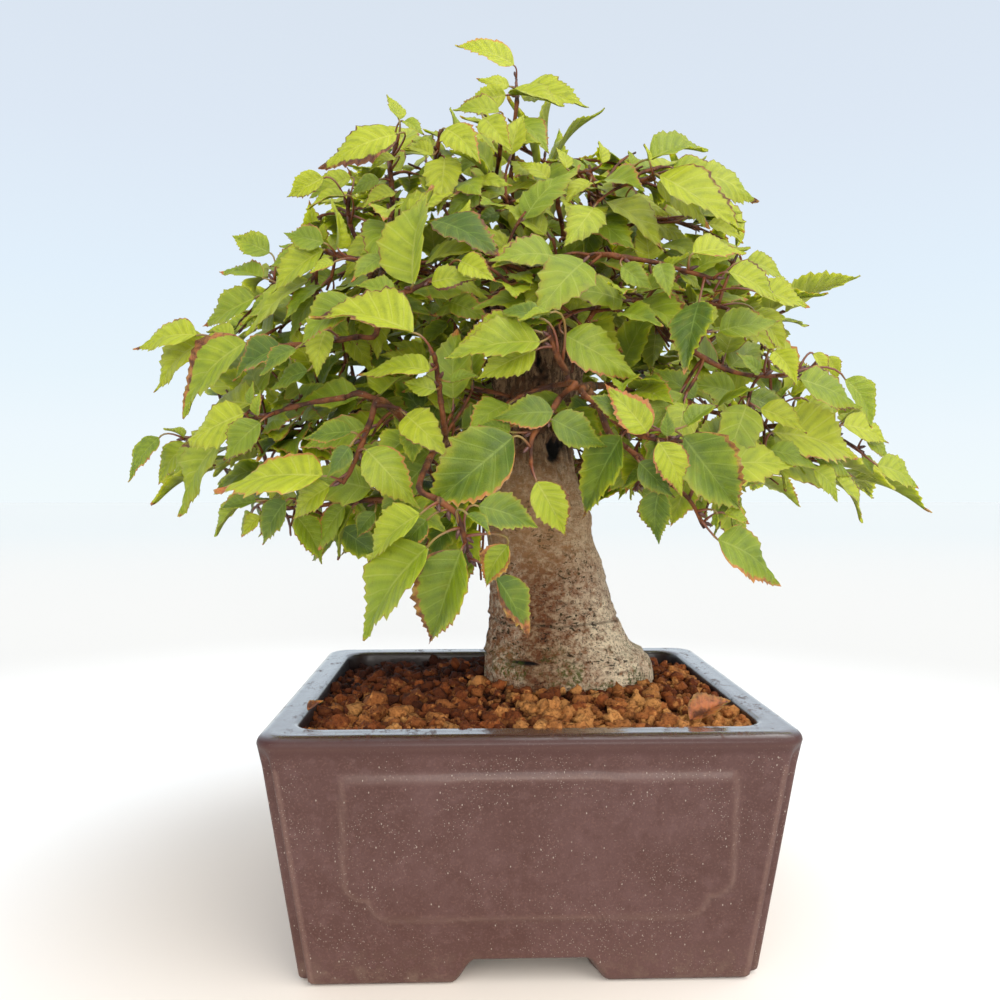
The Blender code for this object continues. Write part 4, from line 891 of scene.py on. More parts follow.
def leaf_shape(leaf):
    """A toothed blade, thick at its midrib, and a petiole whose end is sunk in the twig."""
    outline, ridge, face = leaf_points(leaf)
    count = len(outline)
    upper = ridge + face * (0.25 * LEAF_MIDRIB)
    lower = ridge - face * (0.75 * LEAF_MIDRIB)
    inward = (leaf["root"] - leaf["base"]).normalized() * PETIOLE_SUNK
    end = leaf["root"] + inward
    corners = outline + [upper, lower, end]
    above, below, root = count, count + 1, count + 2
    faces = []
    for index in range(count - 1):
        faces.append((above, index, index + 1))
        faces.append((below, index + 1, index))
    last = count - 1
    room_above = petiole_room(outline[0], outline[-1], upper, end)
    room_below = -petiole_room(outline[0], outline[-1], lower, end)
    if room_above > room_below:
        faces += [(above, root, 0), (above, last, root), (below, 0, last), (0, root, last)]
    else:
        faces += [(above, last, 0), (0, last, root), (below, 0, root), (below, root, last)]
    return corners, faces


def leaf_guard(leaf):
    """A slightly larger, blunt-edged hull of a leaf, to keep others clear of it."""
    outline, ridge, face = leaf_points(leaf, LEAF_CLEARANCE)
    count = len(outline)
    away = face * LEAF_CLEARANCE
    middle = face * (0.5 * LEAF_MIDRIB)
    stem = leaf["root"] + (leaf["base"] - leaf["root"]) * 0.25
    corners = [point + away for point in outline] + [point - away for point in outline]
    corners += [ridge + middle + away * 0.5, ridge - middle * 2.0 - away, stem + away, stem - away]
    above, below, root_above, root_below = 2 * count, 2 * count + 1, 2 * count + 2, 2 * count + 3
    faces = []
    for index in range(count - 1):
        faces.append((above, index, index + 1))
        faces.append((below, count + index + 1, count + index))
        faces.append((index, count + index, count + index + 1))
        faces.append((index, count + index + 1, index + 1))
    last = count - 1
    faces += [(above, root_above, 0), (above, last, root_above)]
    faces += [(below, count, root_below), (below, root_below, count + last)]
    faces += [(0, root_above, root_below), (0, root_below, count)]
    faces += [(last, root_below, root_above), (last, count + last, root_below)]
    return BVHTree.FromPolygons(corners, faces)


def blade_guard(leaf):
    """The outer part of a blade alone, to keep it off its own twig."""
    outline, ridge, face = leaf_points(leaf, LEAF_CLEARANCE)
    middle = face * LEAF_MIDRIB
    count = len(outline)
    corners = outline + [ridge + middle, ridge - middle]
    faces = [(count, index, index + 1) for index in range(count - 1)]
    faces += [(count + 1, index + 1, index) for index in range(count - 1)]
    return BVHTree.FromPolygons(corners, faces)


def leaf_collides(leaf, guard, placed, solids, own_twig):
    """Whether a leaf's guard touches wood, a twig or another leaf."""
    if blade_guard(leaf).overlap(solids[own_twig]):
        return True
    if faces_met(leaf, solids[own_twig]) > PETIOLE_PAIRS:
        return True
    for name, tree in solids.items():
        if name != own_twig and guard.overlap(tree):
            return True
    middle = (leaf["base"] + leaf["tip"]) * 0.5
    for other in placed:
        reach = (other["length"] + leaf["length"]) * 0.75 + 6.0
        if (other["middle"] - middle).length < reach and guard.overlap(other["guard"]):
            return True
    return False


def settle(leaf, placed, solids, own_twig):
    """Keep a leaf if nothing is in its way."""
    leaf["length"] = (leaf["tip"] - leaf["base"]).length
    leaf["middle"] = (leaf["base"] + leaf["tip"]) * 0.5
    guard = leaf_guard(leaf)
    if leaf_collides(leaf, guard, placed, solids, own_twig):
        return False
    leaf["guard"] = guard
    leaf["twig"] = own_twig
    placed.append(leaf)
    return True


def seen_leaf(row, path, lean, turn_change, size):
    """A leaf from its base and tip in the frame, with its base near the twig."""
    base_column, base_row, tip_column, tip_row, turn = row
    screen = seen(base_column, base_row, dome_back(base_column, base_row))
    ray = (screen - EYE).normalized()
    near = min(path, key=lambda point: ((point - EYE) - ray * (point - EYE).dot(ray)).length)
    base_back = near.y - LEAF_BEFORE_TWIG + LEAN_AT_BASE * lean
    base = seen(base_column, base_row, base_back)
    slope = dome_back(tip_column, tip_row) - dome_back(base_column, base_row) + LEAN_AT_TIP * lean
    limit = LEAF_STEEPEST * (seen(tip_column, tip_row, base_back) - base).length
    tip = seen(tip_column, tip_row, base_back + max(-limit, min(limit, slope)))
    tip = base + (tip - base) * size
    along = (tip - base).normalized()
    to_eye = (EYE - base).normalized()
    facing = (to_eye - along * to_eye.dot(along)).normalized()
    angle = math.radians(TURN.get(turn, turn) + turn_change)
    faces = [Matrix.Rotation(sign * angle, 3, along) @ facing for sign in (1.0, -1.0)]
    face = max(faces, key=lambda normal: normal.z)
    length = min((tip - base).length, LEAF_LONGEST)
    return {"base": base, "tip": base + along * length, "face": face,
            "half_width": 0.5 * LEAF_SHAPE * length}


def place_seen_leaf(name, row, path, solids, placed):
    """Try one seen leaf at several depths, turns and sizes."""
    roots = [leaf["root"] for leaf in placed if leaf["twig"] == name]
    for size in (1.0, 0.9, 0.8):
        for turn_change in (0, 14, -14, 26):
            for lean in (0, -4, 4, -8, 8, -13, 13, -18):
                leaf = seen_leaf(row, path, lean, turn_change, size)
                rooted = take_root(leaf, twig_line(path), roots, solids[name])
                if rooted and settle(leaf, placed, solids, name):
                    return


# How leaves sit along a twig where a rule places them: the limits of how far they spread
# sideways, lean out of the crown and rise, of their length and stalk, and their face's sway
FAR_HABIT = {"spread": (0.7, 1.25), "lean": (0.0, 0.5), "rise": (-0.45, 0.2), "length": (19.0, 27.0),
             "stalk": (3.5, 5.5), "sway": 0.4}
INNER_HABIT = {"spread": (0.6, 1.3), "lean": (0.0, 0.6), "rise": (-0.6, 0.25), "length": (12.0, 23.0),
               "stalk": (2.2, 4.2), "sway": 0.5}
TIP_SHARE = 0.97
TIP_SPREAD = (-0.3, 0.3)


def ruled_leaf(line, share, side, habit, draw):
    """A leaf by rule: out to one side of its twig, forward along it and drooping."""
    spot = share * (len(line) - 1)
    index = min(int(spot), len(line) - 2)
    root = line[index].lerp(line[index + 1], spot - index)
    along = (line[index + 1] - line[index]).normalized()
    out = (root - CROWN_MIDDLE).normalized()
    across = along.cross(Vector((0.0, 0.0, 1.0))).normalized() * side
    spread = draw.uniform(*(habit["spread"] if share < TIP_SHARE else TIP_SPREAD))
    heading = along + across * spread + out * draw.uniform(*habit["lean"])
    heading.z += draw.uniform(*habit["rise"])
    heading.normalize()
    length = draw.uniform(*habit["length"])
    base = root + heading * draw.uniform(*habit["stalk"])
    face = Vector((0.0, 0.0, 1.0)) * draw.uniform(0.5, 1.1) + out * 0.7
    sway = habit["sway"]
    face += Vector((draw.uniform(-sway, sway), draw.uniform(-sway, sway), 0.0))
    return {"base": base, "tip": base + heading * length, "face": face, "root": root, "length": length}


def far_leaf(line, share, side, draw):
    """A leaf of a far twig, as broad as the seen ones."""
    leaf = ruled_leaf(line, share, side, FAR_HABIT, draw)
    leaf["half_width"] = 0.5 * LEAF_SHAPE * leaf["length"]
    return leaf


def place_far_leaves(twigs, solids, placed):
    """Leaves by rule along each far twig, drawn again where one is in the way."""
    for name, path in twigs.items():
        if name in SHOOTS:
            continue
        draw = random.Random(name)
        for index in range(FAR_LEAVES):
            share = FIRST_FAR_LEAF + FAR_LEAF_SPAN * index / (FAR_LEAVES - 1)
            side = 1.0 if index % 2 else -1.0
            for _ in range(FAR_TRIES):
                if settle(far_leaf(twig_line(path), share, side, draw), placed, solids, name):
                    break


def solid_trees(shapes, twigs):
    """Search trees for the wood and for each twig."""
    trees = {}
    for index, (corners, faces) in enumerate(shapes):
        trees[f"wood_{index}"] = BVHTree.FromPolygons([Vector(corner) for corner in corners], faces)
    for name, path in twigs.items():
        corners, faces = twig_shape(path)
        trees[name] = BVHTree.FromPolygons(corners, faces)
    return trees


def to_linear(red, green, blue):
    """A colour as it is seen, 0 to 255, as linear light."""
    share = np.array((red, green, blue)) / 255.0
    linear = np.where(share > 0.04045, ((share + 0.055) / 1.055) ** 2.4, share / 12.92)
    return (*(linear ** VIEW_GAMMA).tolist(), 1.0)


def tint(red, green, blue):
    """A surface colour that shows as the given one in this light."""
    linear = to_linear(red, green, blue)
    return (*[LIGHT_SHARE * part for part in linear[:3]], 1.0)


def smooth_step(low, high, value):
    """0 below low, 1 above high and smooth between, for arrays."""
    share = np.clip((value - low) / (high - low), 0.0, 1.0)
    return share * share * (3.0 - 2.0 * share)


def add_piece(name, corners, faces, materials, stands_for=(), picks=None, notes=None,
              sharp=None):
    """A smooth mesh from corners in millimetres; notes are vectors kept at its corners."""
    mesh = bpy.data.meshes.new(name)
    placed = (np.asarray(corners, dtype=float) + np.array(SHIFT)) * MM
    mesh.from_pydata(placed, [], faces)
    for material in materials:
        mesh.materials.append(material)
    if picks is not None:
        mesh.polygons.foreach_set("material_index", np.asarray(picks, dtype=np.int32))
    mesh.polygons.foreach_set("use_smooth", np.ones(len(mesh.polygons), dtype=bool))
    for note, values in (notes or {}).items():
        layer = mesh.attributes.new(note, "FLOAT_VECTOR", "POINT")
        layer.data.foreach_set("vector", np.asarray(values, dtype=np.float32).ravel())
    if sharp is not None:
        ends = np.zeros(2 * len(mesh.edges), dtype=np.int32)
        mesh.edges.foreach_get("vertices", ends)
        rim = np.asarray(sharp, dtype=bool)[ends.reshape(-1, 2)].all(axis=1)
        layer = mesh.attributes.new("sharp_edge", "BOOLEAN", "EDGE")
        layer.data.foreach_set("value", rim)
    mesh.update()
    piece = bpy.data.objects.new(name, mesh)
    bpy.context.collection.objects.link(piece)
    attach(piece, "root")
    if stands_for:
        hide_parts(*stands_for)
    return piece


class Heap:
    """Many small shapes gathered into one mesh."""

    def __init__(self):
        self.corners = []
        self.faces = []
        self.picks = []
        self.notes = {}
        self.sharp = []
        self.count = 0

    def add(self, corners, faces, pick, notes=None, sharp=None):
        """One more shape; pick is one material's place or one for each face."""
        corners = np.asarray(corners, dtype=float)
        self.corners.append(corners)
        self.faces.extend(tuple(index + self.count for index in face) for face in faces)
        self.picks.extend([pick] * len(faces) if isinstance(pick, int) else pick)
        for note, values in (notes or {}).items():
            values = np.asarray(values, dtype=float)
            if values.ndim == 1:
                values = np.tile(values, (len(corners), 1))
            self.notes.setdefault(note, []).append(values)
        self.sharp.append(np.zeros(len(corners), bool) if sharp is None else sharp)
        self.count += len(corners)

    def piece(self, name, materials, stands_for=(), slot=None):
        """The mesh object of everything gathered."""
        notes = {note: np.concatenate(values) for note, values in self.notes.items()}
        return add_piece(name, np.concatenate(self.corners), self.faces, materials, stands_for,
                         self.picks, notes, np.concatenate(self.sharp))


def corner_stations():
    """Places round one corner, as distances in from its two sides: on the lip and on the body."""
    body = [(4.2, 0), (3.7, 0), (3.2, 0.15), (3, 0.7), (3, 1.6), (3, 2.6), (2.8, 2.8), (2.6, 3),
            (1.6, 3), (0.7, 3), (0.15, 3.2), (0, 3.7), (0, 4.2)]
    angles = np.linspace(0.0, math.pi / 2.0, len(body) + 2)[1:-1]
    lip = [(RIM_CORNER * (1 - math.sin(a)), RIM_CORNER * (1 - math.cos(a))) for a in angles]
    return np.array(lip), np.array(body, dtype=float)


def side_stations(side):
    """Places along one side's straight length, from -1 to 1."""
    count = int(2.0 * (RIM_HALVES[side % 2] - RIM_CORNER) / STATION_PITCH) + 1
    return np.linspace(-1.0, 1.0, count)


def ring_of_stations(half_x, half_y, lip_share, radius=RIM_CORNER):
    """One outline round the pot; lip_share goes from the notched body to the round lip."""
    lip, body = corner_stations()
    corner = body + (lip * radius / RIM_CORNER - body) * lip_share
    points = []
    for side, (ax, ay, ox, oy) in enumerate(SIDES):
        half_along, half_out = (half_x, half_y) if side % 2 == 0 else (half_y, half_x)
        along = side_stations(side) * (half_along - radius)
        points.append(np.stack([ax * along + ox * half_out, ay * along + oy * half_out], axis=1))
        a = half_along - corner[:, 0]
        o = half_out - corner[:, 1]
        points.append(np.stack([ax * a + ox * o, ay * a + oy * o], axis=1))
    return np.concatenate(points)


def station_facts():
    """For each place round the pot: its side, how far along it, and its way out."""
    sides, shares, outs = [], [], []
    corner_count = len(corner_stations()[0])
    for side, way in enumerate(SIDES):
        stations = side_stations(side)
        count = len(stations) + corner_count
        shares.append(stations * (RIM_HALVES[side % 2] - RIM_CORNER))
        shares.append(np.full(corner_count, np.nan))
        sides.append(np.full(count, side))
        outs.append(np.tile(way[2:], (count, 1)))
    return np.concatenate(sides), np.concatenate(shares), np.concatenate(outs).astype(float)


def gap_height(side, along):
    """How high the arch between the feet stands at a place along a side."""
    height = np.zeros(len(along))
    for parity, half in ((0, FOOT_GAP_HALF_X), (1, FOOT_GAP_HALF_Y)):
        rise = smooth_step(0.0, FOOT_SHOULDER, half - np.abs(along)) * GAP_CEILING
        height = np.where((side % 2 == parity) & ~np.isnan(along), rise, height)
    return np.nan_to_num(height)


def panel_edge(half):
    """A panel's outline with its two soft arcs at each bottom corner."""
    side = [(half, PANEL_TOP)]
    inner = half - PANEL_ARC
    turns = [math.radians(degrees) for degrees in range(0, 91, 15)]
    for middle, low in ((inner, PANEL_BOTTOM + PANEL_ARC), (inner - PANEL_STEP - PANEL_ARC, PANEL_BOTTOM)):
        side += [(middle + PANEL_ARC * math.cos(turn), low + PANEL_ARC - PANEL_ARC * math.sin(turn))
                 for turn in turns]
    return np.array(side + [(-x, z) for x, z in reversed(side)])


def inside_by(points, outline):
    """How far each point lies inside a closed outline; less than 0 outside it."""
    start = outline
    stop = np.roll(outline, -1, axis=0)
    span = stop - start
    best = np.full(len(points), 1e9)
    inside = np.zeros(len(points), bool)
    for a, b, d in zip(start, stop, span):
        rel = points - a
        share = np.clip((rel @ d) / (d @ d), 0.0, 1.0)
        best = np.minimum(best, np.hypot(*(rel - share[:, None] * d).T))
        crosses = (a[1] > points[:, 1]) != (b[1] > points[:, 1])
        if abs(d[1]) > 1e-9:
            at = a[0] + (points[:, 1] - a[1]) * d[0] / d[1]
            inside ^= crosses & (points[:, 0] < at)
    return np.where(inside, best, -best)


def wall_ring(height, lip_share, sides, alongs, outs):
    """One outline of the outer wall with its panels' relief, at a height for each place."""
    ring = np.zeros((len(sides), 3))
    for level in (0.0, 1.0):
        half_x = body_half(RIM_HALF_X, RIM_TOP * level)
        half_y = body_half(RIM_HALF_Y, RIM_TOP * level)
        share = height / RIM_TOP if level else 1.0 - height / RIM_TOP
        body = ring_of_stations(half_x, half_y, 0.0)
        lip = ring_of_stations(half_x, half_y, 1.0, LIP_CORNER)
        ring[:, :2] += (body + (lip - body) * lip_share[:, None]) * share[:, None]
    ring[:, 2] = height
    for parity, half in enumerate((PANEL_HALF_X, PANEL_HALF_Y)):
        on = (sides % 2 == parity) & ~np.isnan(alongs)
        top = RIM_HALVES[parity]
        foot, brim = body_half(top, 0.0), body_half(top, RIM_TOP)
        wide = foot + (brim - foot) * height[on] / RIM_TOP
        along = alongs[on] * (wide - RIM_CORNER) / (top - RIM_CORNER)
        depth = inside_by(np.stack([along - PANEL_OFF_MIDDLE, height[on]], axis=1), panel_edge(half))
        relief = PANEL_RELIEF * smooth_step(-0.75 * PANEL_SOFTNESS, 0.25 * PANEL_SOFTNESS, depth)
        ring[on, :2] += outs[on] * relief[:, None]
    return ring


def level_ring(half_x, half_y, z, radius=INNER_CORNER):
    """One flat outline round the pot, with round corners."""
    flat = ring_of_stations(half_x, half_y, 1.0, radius)
    return np.column_stack([flat, np.full(len(flat), z)])


def cavity_rings():
    """The pot's inside, from its floor up to the opening's rounded edge."""
    floor_x = body_half(RIM_HALF_X, FLOOR_TOP) - FLOOR_WALL
    floor_y = body_half(RIM_HALF_Y, FLOOR_TOP) - FLOOR_WALL
    open_x = RIM_HALF_X - RIM_WALL
    open_y = RIM_HALF_Y - RIM_WALL
    rings = [level_ring(floor_x, floor_y, FLOOR_TOP)]
    for z in CAVITY_LEVELS:
        share = (z - FLOOR_TOP) / (CAVITY_TOP - FLOOR_TOP)
        half_x = floor_x + (open_x - floor_x) * share
        half_y = floor_y + (open_y - floor_y) * share
        rings.append(level_ring(half_x, half_y, z))
    for turn in QUARTERS:
        step = INNER_ROUNDING * (1.0 - math.cos(turn))
        z = CAVITY_TOP - INNER_DROP + INNER_ROUNDING * math.sin(turn)
        rings.append(level_ring(open_x + step, open_y + step, z))
    return rings


def lip_rings():
    """The lip's nearly flat top and its rounded outer edge."""
    rings = []
    for inset, z in LIP_LEVELS:
        radius = LIP_CORNER + (INNER_CORNER - LIP_CORNER) * inset / RIM_WALL
        rings.append(level_ring(RIM_HALF_X - inset, RIM_HALF_Y - inset, z, radius))
    for share in (0.0, 0.16, 0.33, 0.5, 0.67, 0.84, 1.0):
        turn = share * math.pi / 2.0
        inset = RIM_ROUNDING * (1.0 - math.sin(turn))
        z = RIM_TOP - RIM_ROUNDING + RIM_ROUNDING * math.cos(turn)
        rings.append(level_ring(RIM_HALF_X - inset, RIM_HALF_Y - inset, z, LIP_CORNER))
    return rings


def wall_rings(low, rounding):
    """The outer wall from below the lip down to the rounding of the feet and arches."""
    facts = station_facts()
    high = RIM_TOP - RIM_ROUNDING - 0.5
    count = int((high - WALL_LOW) / WALL_PITCH)
    rings = []
    for index in range(count + 1):
        height = high + (low + rounding - high) * (index / count)
        ring = wall_ring(height, smooth_step(NOTCH_FULL, NOTCH_TOP, height), *facts)
        flare = RIM_FLARE * smooth_step(FLARE_FROM, FLARE_FULL, height)
        ring[:, :2] *= 1.0 + (flare / RIM_HALF_X)[:, None]
        rings.append(ring)
    return rings


def foot_rings(base, low, rounding):
    """The rounded edge of the feet, their soles and the hollow between them."""
    foot_x, foot_y = body_half(RIM_HALF_X, 0.0), body_half(RIM_HALF_Y, 0.0)
    inward = ring_of_stations(foot_x - 1.0, foot_y - 1.0, 0.0) - ring_of_stations(foot_x, foot_y, 0.0)
    pocket = ring_of_stations(foot_x - FOOT_WALL, foot_y - FOOT_WALL, 1.0)
    rings = []
    for turn in QUARTERS:
        ring = base.copy()
        ring[:, :2] += inward * (rounding * (1.0 - math.cos(turn)))[:, None]
        ring[:, 2] = low + rounding * (1.0 - math.sin(turn))
        rings.append(ring)
    edge = rings[-1]
    for share in (0.3, 0.6, 0.88):
        ring = edge.copy()
        ring[:, :2] = edge[:, :2] + (pocket - edge[:, :2]) * share
        rings.append(ring)
    for share in (0.12, 0.55, 1.0):
        rings.append(np.column_stack([pocket, low + (FOOT_HEIGHT - low) * share]))
    return rings


def pot_rings():
    """Every outline of the pot, from the floor inside over the lip and down to the hollow below."""
    sides, alongs, _ = station_facts()
    low = gap_height(sides, alongs)
    rounding = FOOT_ROUNDING + (ARCH_ROUNDING - FOOT_ROUNDING) * low / GAP_CEILING
    rings = cavity_rings() + lip_rings() + wall_rings(low, rounding)
    return rings + foot_rings(rings[-1], low, rounding)


def glaze_and_highlight(ring):
    """How pale the glaze is at each place of an outline: on the panels' brinks, the notches and the
    shoulder, from thin glaze and a painted highlight along these edges.
    """
    sides, alongs, outs = station_facts()
    height = ring[:, 2]
    thin = np.zeros(len(ring))
    # round a notch: thin glaze and a painted highlight on its edge
    thin[np.isnan(alongs)] = np.tile(NOTCH_GLAZE_AND_HIGHLIGHT, len(SIDES))
    thin[height >= NOTCH_FULL] = 0.0
    for parity, half in enumerate((PANEL_HALF_X, PANEL_HALF_Y)):
        on = (sides % 2 == parity) & ~np.isnan(alongs)
        along = ring[on, parity] * np.where((outs[on, 1] < 0) | (outs[on, 0] > 0), 1.0, -1.0)
        depth = inside_by(np.stack([along - PANEL_OFF_MIDDLE, height[on]], axis=1), panel_edge(half))
        # along a panel's brink: thin glaze and a painted highlight
        thin[on] = np.exp(-((depth - 0.1) / 0.75) ** 2) * 0.9
    # a pale line at the shoulder below the lip
    shoulder = np.exp(-((height - SHOULDER_PALE_LINE) / 0.9) ** 2) * 0.35
    return np.maximum(thin, shoulder)


def drill(piece, x):
    """Cut one drain hole through the pot's floor."""
    axis = [Vector((x, 0.0, FLOOR_TOP + 3.0)), Vector((x, 0.0, 2.0))]
    corners, faces = tube(axis, (DRAIN_RADIUS, DRAIN_RADIUS), 40)
    mesh = bpy.data.meshes.new("drain")
    mesh.from_pydata([(corner + SHIFT) * MM for corner in corners], [], faces)
    tool = bpy.data.objects.new("drain", mesh)
    bpy.context.collection.objects.link(tool)
    cut = piece.modifiers.new("drain", "BOOLEAN")
    cut.operation = "DIFFERENCE"
    cut.object = tool
    cut.solver = "MANIFOLD"
    graph = bpy.context.evaluated_depsgraph_get()
    done = bpy.data.meshes.new_from_object(piece.evaluated_get(graph))
    piece.modifiers.clear()
    piece.data = done
    bpy.data.objects.remove(tool)


def build_pot(material):
    """The fired pot: rounded lip, notched corners, soft panels, arched feet and drain holes."""
    rings = pot_rings()
    count = len(rings[0])
    corners = np.concatenate(rings)
    corners[:, 0] = corners[:, 0] * (FOOT_SKEW - LIP_SKEW * corners[:, 2] / RIM_TOP) + POT_SIDEWAYS
    # pale along brinks, notches and shoulder: thin glaze and a painted highlight
    brink_glaze_and_highlight = np.concatenate([glaze_and_highlight(ring) for ring in rings])
    sill = smooth_step(SILL_FROM, SILL_FULL, corners[:, 2])
    low = smooth_step(DUST_TOP, 0.0, corners[:, 2])
    # the inside, marked to be painted dark as the shade inside the pot
    inside = np.zeros(len(corners))
    inside[:HOLLOW_RINGS * count] = 1.0
    faces = [(here, above, across, beside)
             for here, beside, across, above in ring_faces(len(rings), count)]
    faces.append(tuple(range(count)))
    faces.append(tuple(reversed(range(len(corners) - count, len(corners)))))
    piece = add_piece("pot_glazed", corners, faces, [material], ("pot",),
                      notes={"glaze": np.column_stack([brink_glaze_and_highlight, sill, low]),
                             "hollow": np.column_stack([inside, inside, inside])})
    for side in (-0.5, 0.5):
        drill(piece, side * DRAIN_SPACING)


def clamp(value):
    """A number kept between 0 and 1."""
    return max(0.0, min(1.0, value))


def soil_settled(x, y):
    """How far the soil lies below its level along the back and side walls."""
    side = clamp((abs(x) / (RIM_HALF_X - RIM_WALL) - 0.70) / 0.28)
    back = clamp((y / (RIM_HALF_Y - RIM_WALL) - 0.45) / 0.5)
    return SETTLED_SIDE * side * side * (3.0 - 2.0 * side) + SETTLED_BACK * back * back * (3.0 - 2.0 * back)


def build_soil_bed(material):
    """The bed that shows between the grains, painted dark as the shade in their gaps."""
    columns, rows = BED_COLUMNS, BED_ROWS
    top_x = RIM_HALF_X - RIM_WALL - BED_GAP
    top_y = RIM_HALF_Y - RIM_WALL - BED_GAP
    corners = []
    for row in range(rows + 1):
        for column in range(columns + 1):
            x = top_x * (2.0 * column / columns - 1.0)
            y = top_y * (2.0 * row / rows - 1.0)
            bump = noise.noise(Vector((x, y, 3.0)) * 0.35) * 1.2
            corners.append((x, y, soil_height(x, y) - soil_settled(x, y) - BED_DEPTH + bump))
    wide = columns + 1
    faces = []
    for row in range(rows):
        for here in range(row * wide, row * wide + columns):
            faces.append((here, here + 1, here + wide + 1, here + wide))
    last = rows * wide
    border = list(range(wide)) + [row * wide + columns for row in range(1, rows + 1)]
    border += list(range(last + columns - 1, last - 1, -1)) + list(range(last - wide, 0, -wide))
    floor_x = (body_half(RIM_HALF_X, FLOOR_TOP) - FLOOR_WALL - GAP) / top_x
    floor_y = (body_half(RIM_HALF_Y, FLOOR_TOP) - FLOOR_WALL - GAP) / top_y
    first = len(corners)
    corners += [(corners[index][0] * floor_x, corners[index][1] * floor_y, FLOOR_TOP + GAP)
                for index in border]
    for step, here in enumerate(border):
        beside = (step + 1) % len(border)
        faces.append((border[beside], here, first + step, first + beside))
    faces.append(tuple(reversed(range(first, len(corners)))))
    add_piece("soil_bed", corners, faces, [material], ("soil",))


def grain_forms(fine):
    """Some rough clods of radius 1."""
    shape = bmesh.new()
    bmesh.ops.create_icosphere(shape, subdivisions=3 if fine else 2, radius=1.0)
    ball = [vertex.co.copy() for vertex in shape.verts]
    faces = [tuple(vertex.index for vertex in face.verts) for face in shape.faces]
    shape.free()
    draw = random.Random(GRAIN_FORM_SEED)
    forms = []
    for _ in range(GRAIN_SHAPES):
        away = Vector((draw.uniform(-99, 99), draw.uniform(-99, 99), draw.uniform(-99, 99)))
        corners = []
        for spoke in ball:
            swell = 1.0 + 0.40 * noise.noise(spoke + away)
            swell += 0.30 * noise.cell(spoke * 1.6 + away) - 0.15
            swell += 0.26 * noise.noise(spoke * 3.0 + away) + 0.12 * noise.noise(spoke * 6.5 + away)
            corners.append(spoke * swell)
        forms.append(np.array(corners))
    return forms, faces


def grain_places():
    """Where each grain lies and how big it is."""
    draw = random.Random(GRAIN_SEED)
    limit_x = RIM_HALF_X - RIM_WALL - GRAIN_INSET
    limit_y = RIM_HALF_Y - RIM_WALL - GRAIN_INSET
    trunk = TRUNK_RINGS[0]
    places = []
    for layer, pitch, lift in GRAIN_LAYERS:
        step = pitch * ROW_STEP
        rows = int(limit_y / step) + 1
        columns = int(limit_x / pitch) + 1
        for row in range(-rows, rows + 1):
            for column in range(-columns, columns + 1):
                x = (column + 0.5 * (row % 2)) * pitch + draw.uniform(-GRAIN_SWAY, GRAIN_SWAY) * pitch
                y = row * step + draw.uniform(-GRAIN_SWAY, GRAIN_SWAY) * pitch
                x = max(-limit_x, min(limit_x, x))
                y = max(-limit_y, min(limit_y, y))
                size = draw.choice(GRAIN_SIZES) * draw.uniform(0.88, 1.15)
                size *= 0.92 if y > -20.0 else 1.06
                inside = math.hypot((x - trunk[1]) / (trunk[3] + 0.6 * size),
                                    (y - trunk[2]) / (trunk[4] + 0.6 * size)) < 1.0
                skip = layer and draw.random() < GRAINS_LEFT_OUT
                if not (inside or skip):
                    z = soil_height(x, y) - soil_settled(x, y)
                    z += lift + draw.uniform(-0.5, 0.6) - 0.25 * size
                    places.append((x, y, z, size))
    return places


def build_grains(material):
    """The soil's loose grains, in two pieces: the near ones finer."""
    coarse, fine = grain_forms(False), grain_forms(True)
    heaps = {"soil_grains_near": Heap(), "soil_grains_far": Heap()}
    draw = random.Random(GRAIN_SEED + 1)
    for x, y, z, size in grain_places():
        near = y < FINE_GRAINS_TO
        forms, faces = fine if near else coarse
        form = forms[draw.randrange(GRAIN_SHAPES)]
        turn = Matrix.Rotation(draw.uniform(0, math.tau), 3, "Z")
        turn = turn @ Matrix.Rotation(draw.uniform(0, math.pi), 3, "X")
        squash = np.array((1.0, draw.uniform(0.75, 1.0), draw.uniform(0.65, 0.95)))
        corners = (form * squash * size) @ np.array(turn).T + np.array((x, y, z))
        # how dark each grain is: darker towards the left and the back, with random and cloudy differences
        darkness = GRAIN_DARKNESS_MIDDLE + GRAIN_DARKNESS_RIGHT * x / RIM_HALF_X + GRAIN_DARKNESS_BACK * y / RIM_HALF_Y
        darkness += draw.uniform(-0.24, 0.24)
        darkness += 0.35 * noise.noise(Vector((x, y, 0.0)) * 0.05)
        tone = draw.random()
        # how high each point of a grain stands above the soil, for the painted shade low down
        up = corners[:, 2] - soil_height(x, y) + soil_settled(x, y)
        looks = np.column_stack([np.full(len(up), tone), np.full(len(up), darkness), up])
        heaps["soil_grains_near" if near else "soil_grains_far"].add(corners, faces, 0, {"grain": looks})
    for name, heap in heaps.items():
        heap.piece(name, [material], (), "soil_granules")


def leaf_template(veins, columns):
    """A blade's grid, as rows along its veins, with the faces of its upper and under side."""
    rows = veins * ROWS_PER_VEIN
    width = 2 * columns + 1
    s = np.repeat(np.linspace(0.0, 1.0, rows + 1), width)
    u = np.tile(np.linspace(-1.0, 1.0, width), rows + 1)
    row = np.repeat(np.arange(rows + 1), width)
    rim = (np.abs(u) > 0.999) | (row == 0) | (row == rows)
    under = np.cumsum(~rim) - 1 + len(s)
    under = np.where(rim, np.arange(len(s)), under)
    faces = []
    for first in range(0, rows * width, width):
        for here in range(first, first + width - 1):
            top = (here, here + 1, here + width + 1, here + width)
            if u[here] > -0.01:
                top = top[1:] + top[:1]
            faces.append(top)
            faces.append(tuple(int(under[index]) for index in reversed(top)))
    return s, u, row, rim, faces, [0, 1] * (rows * (width - 1)), veins


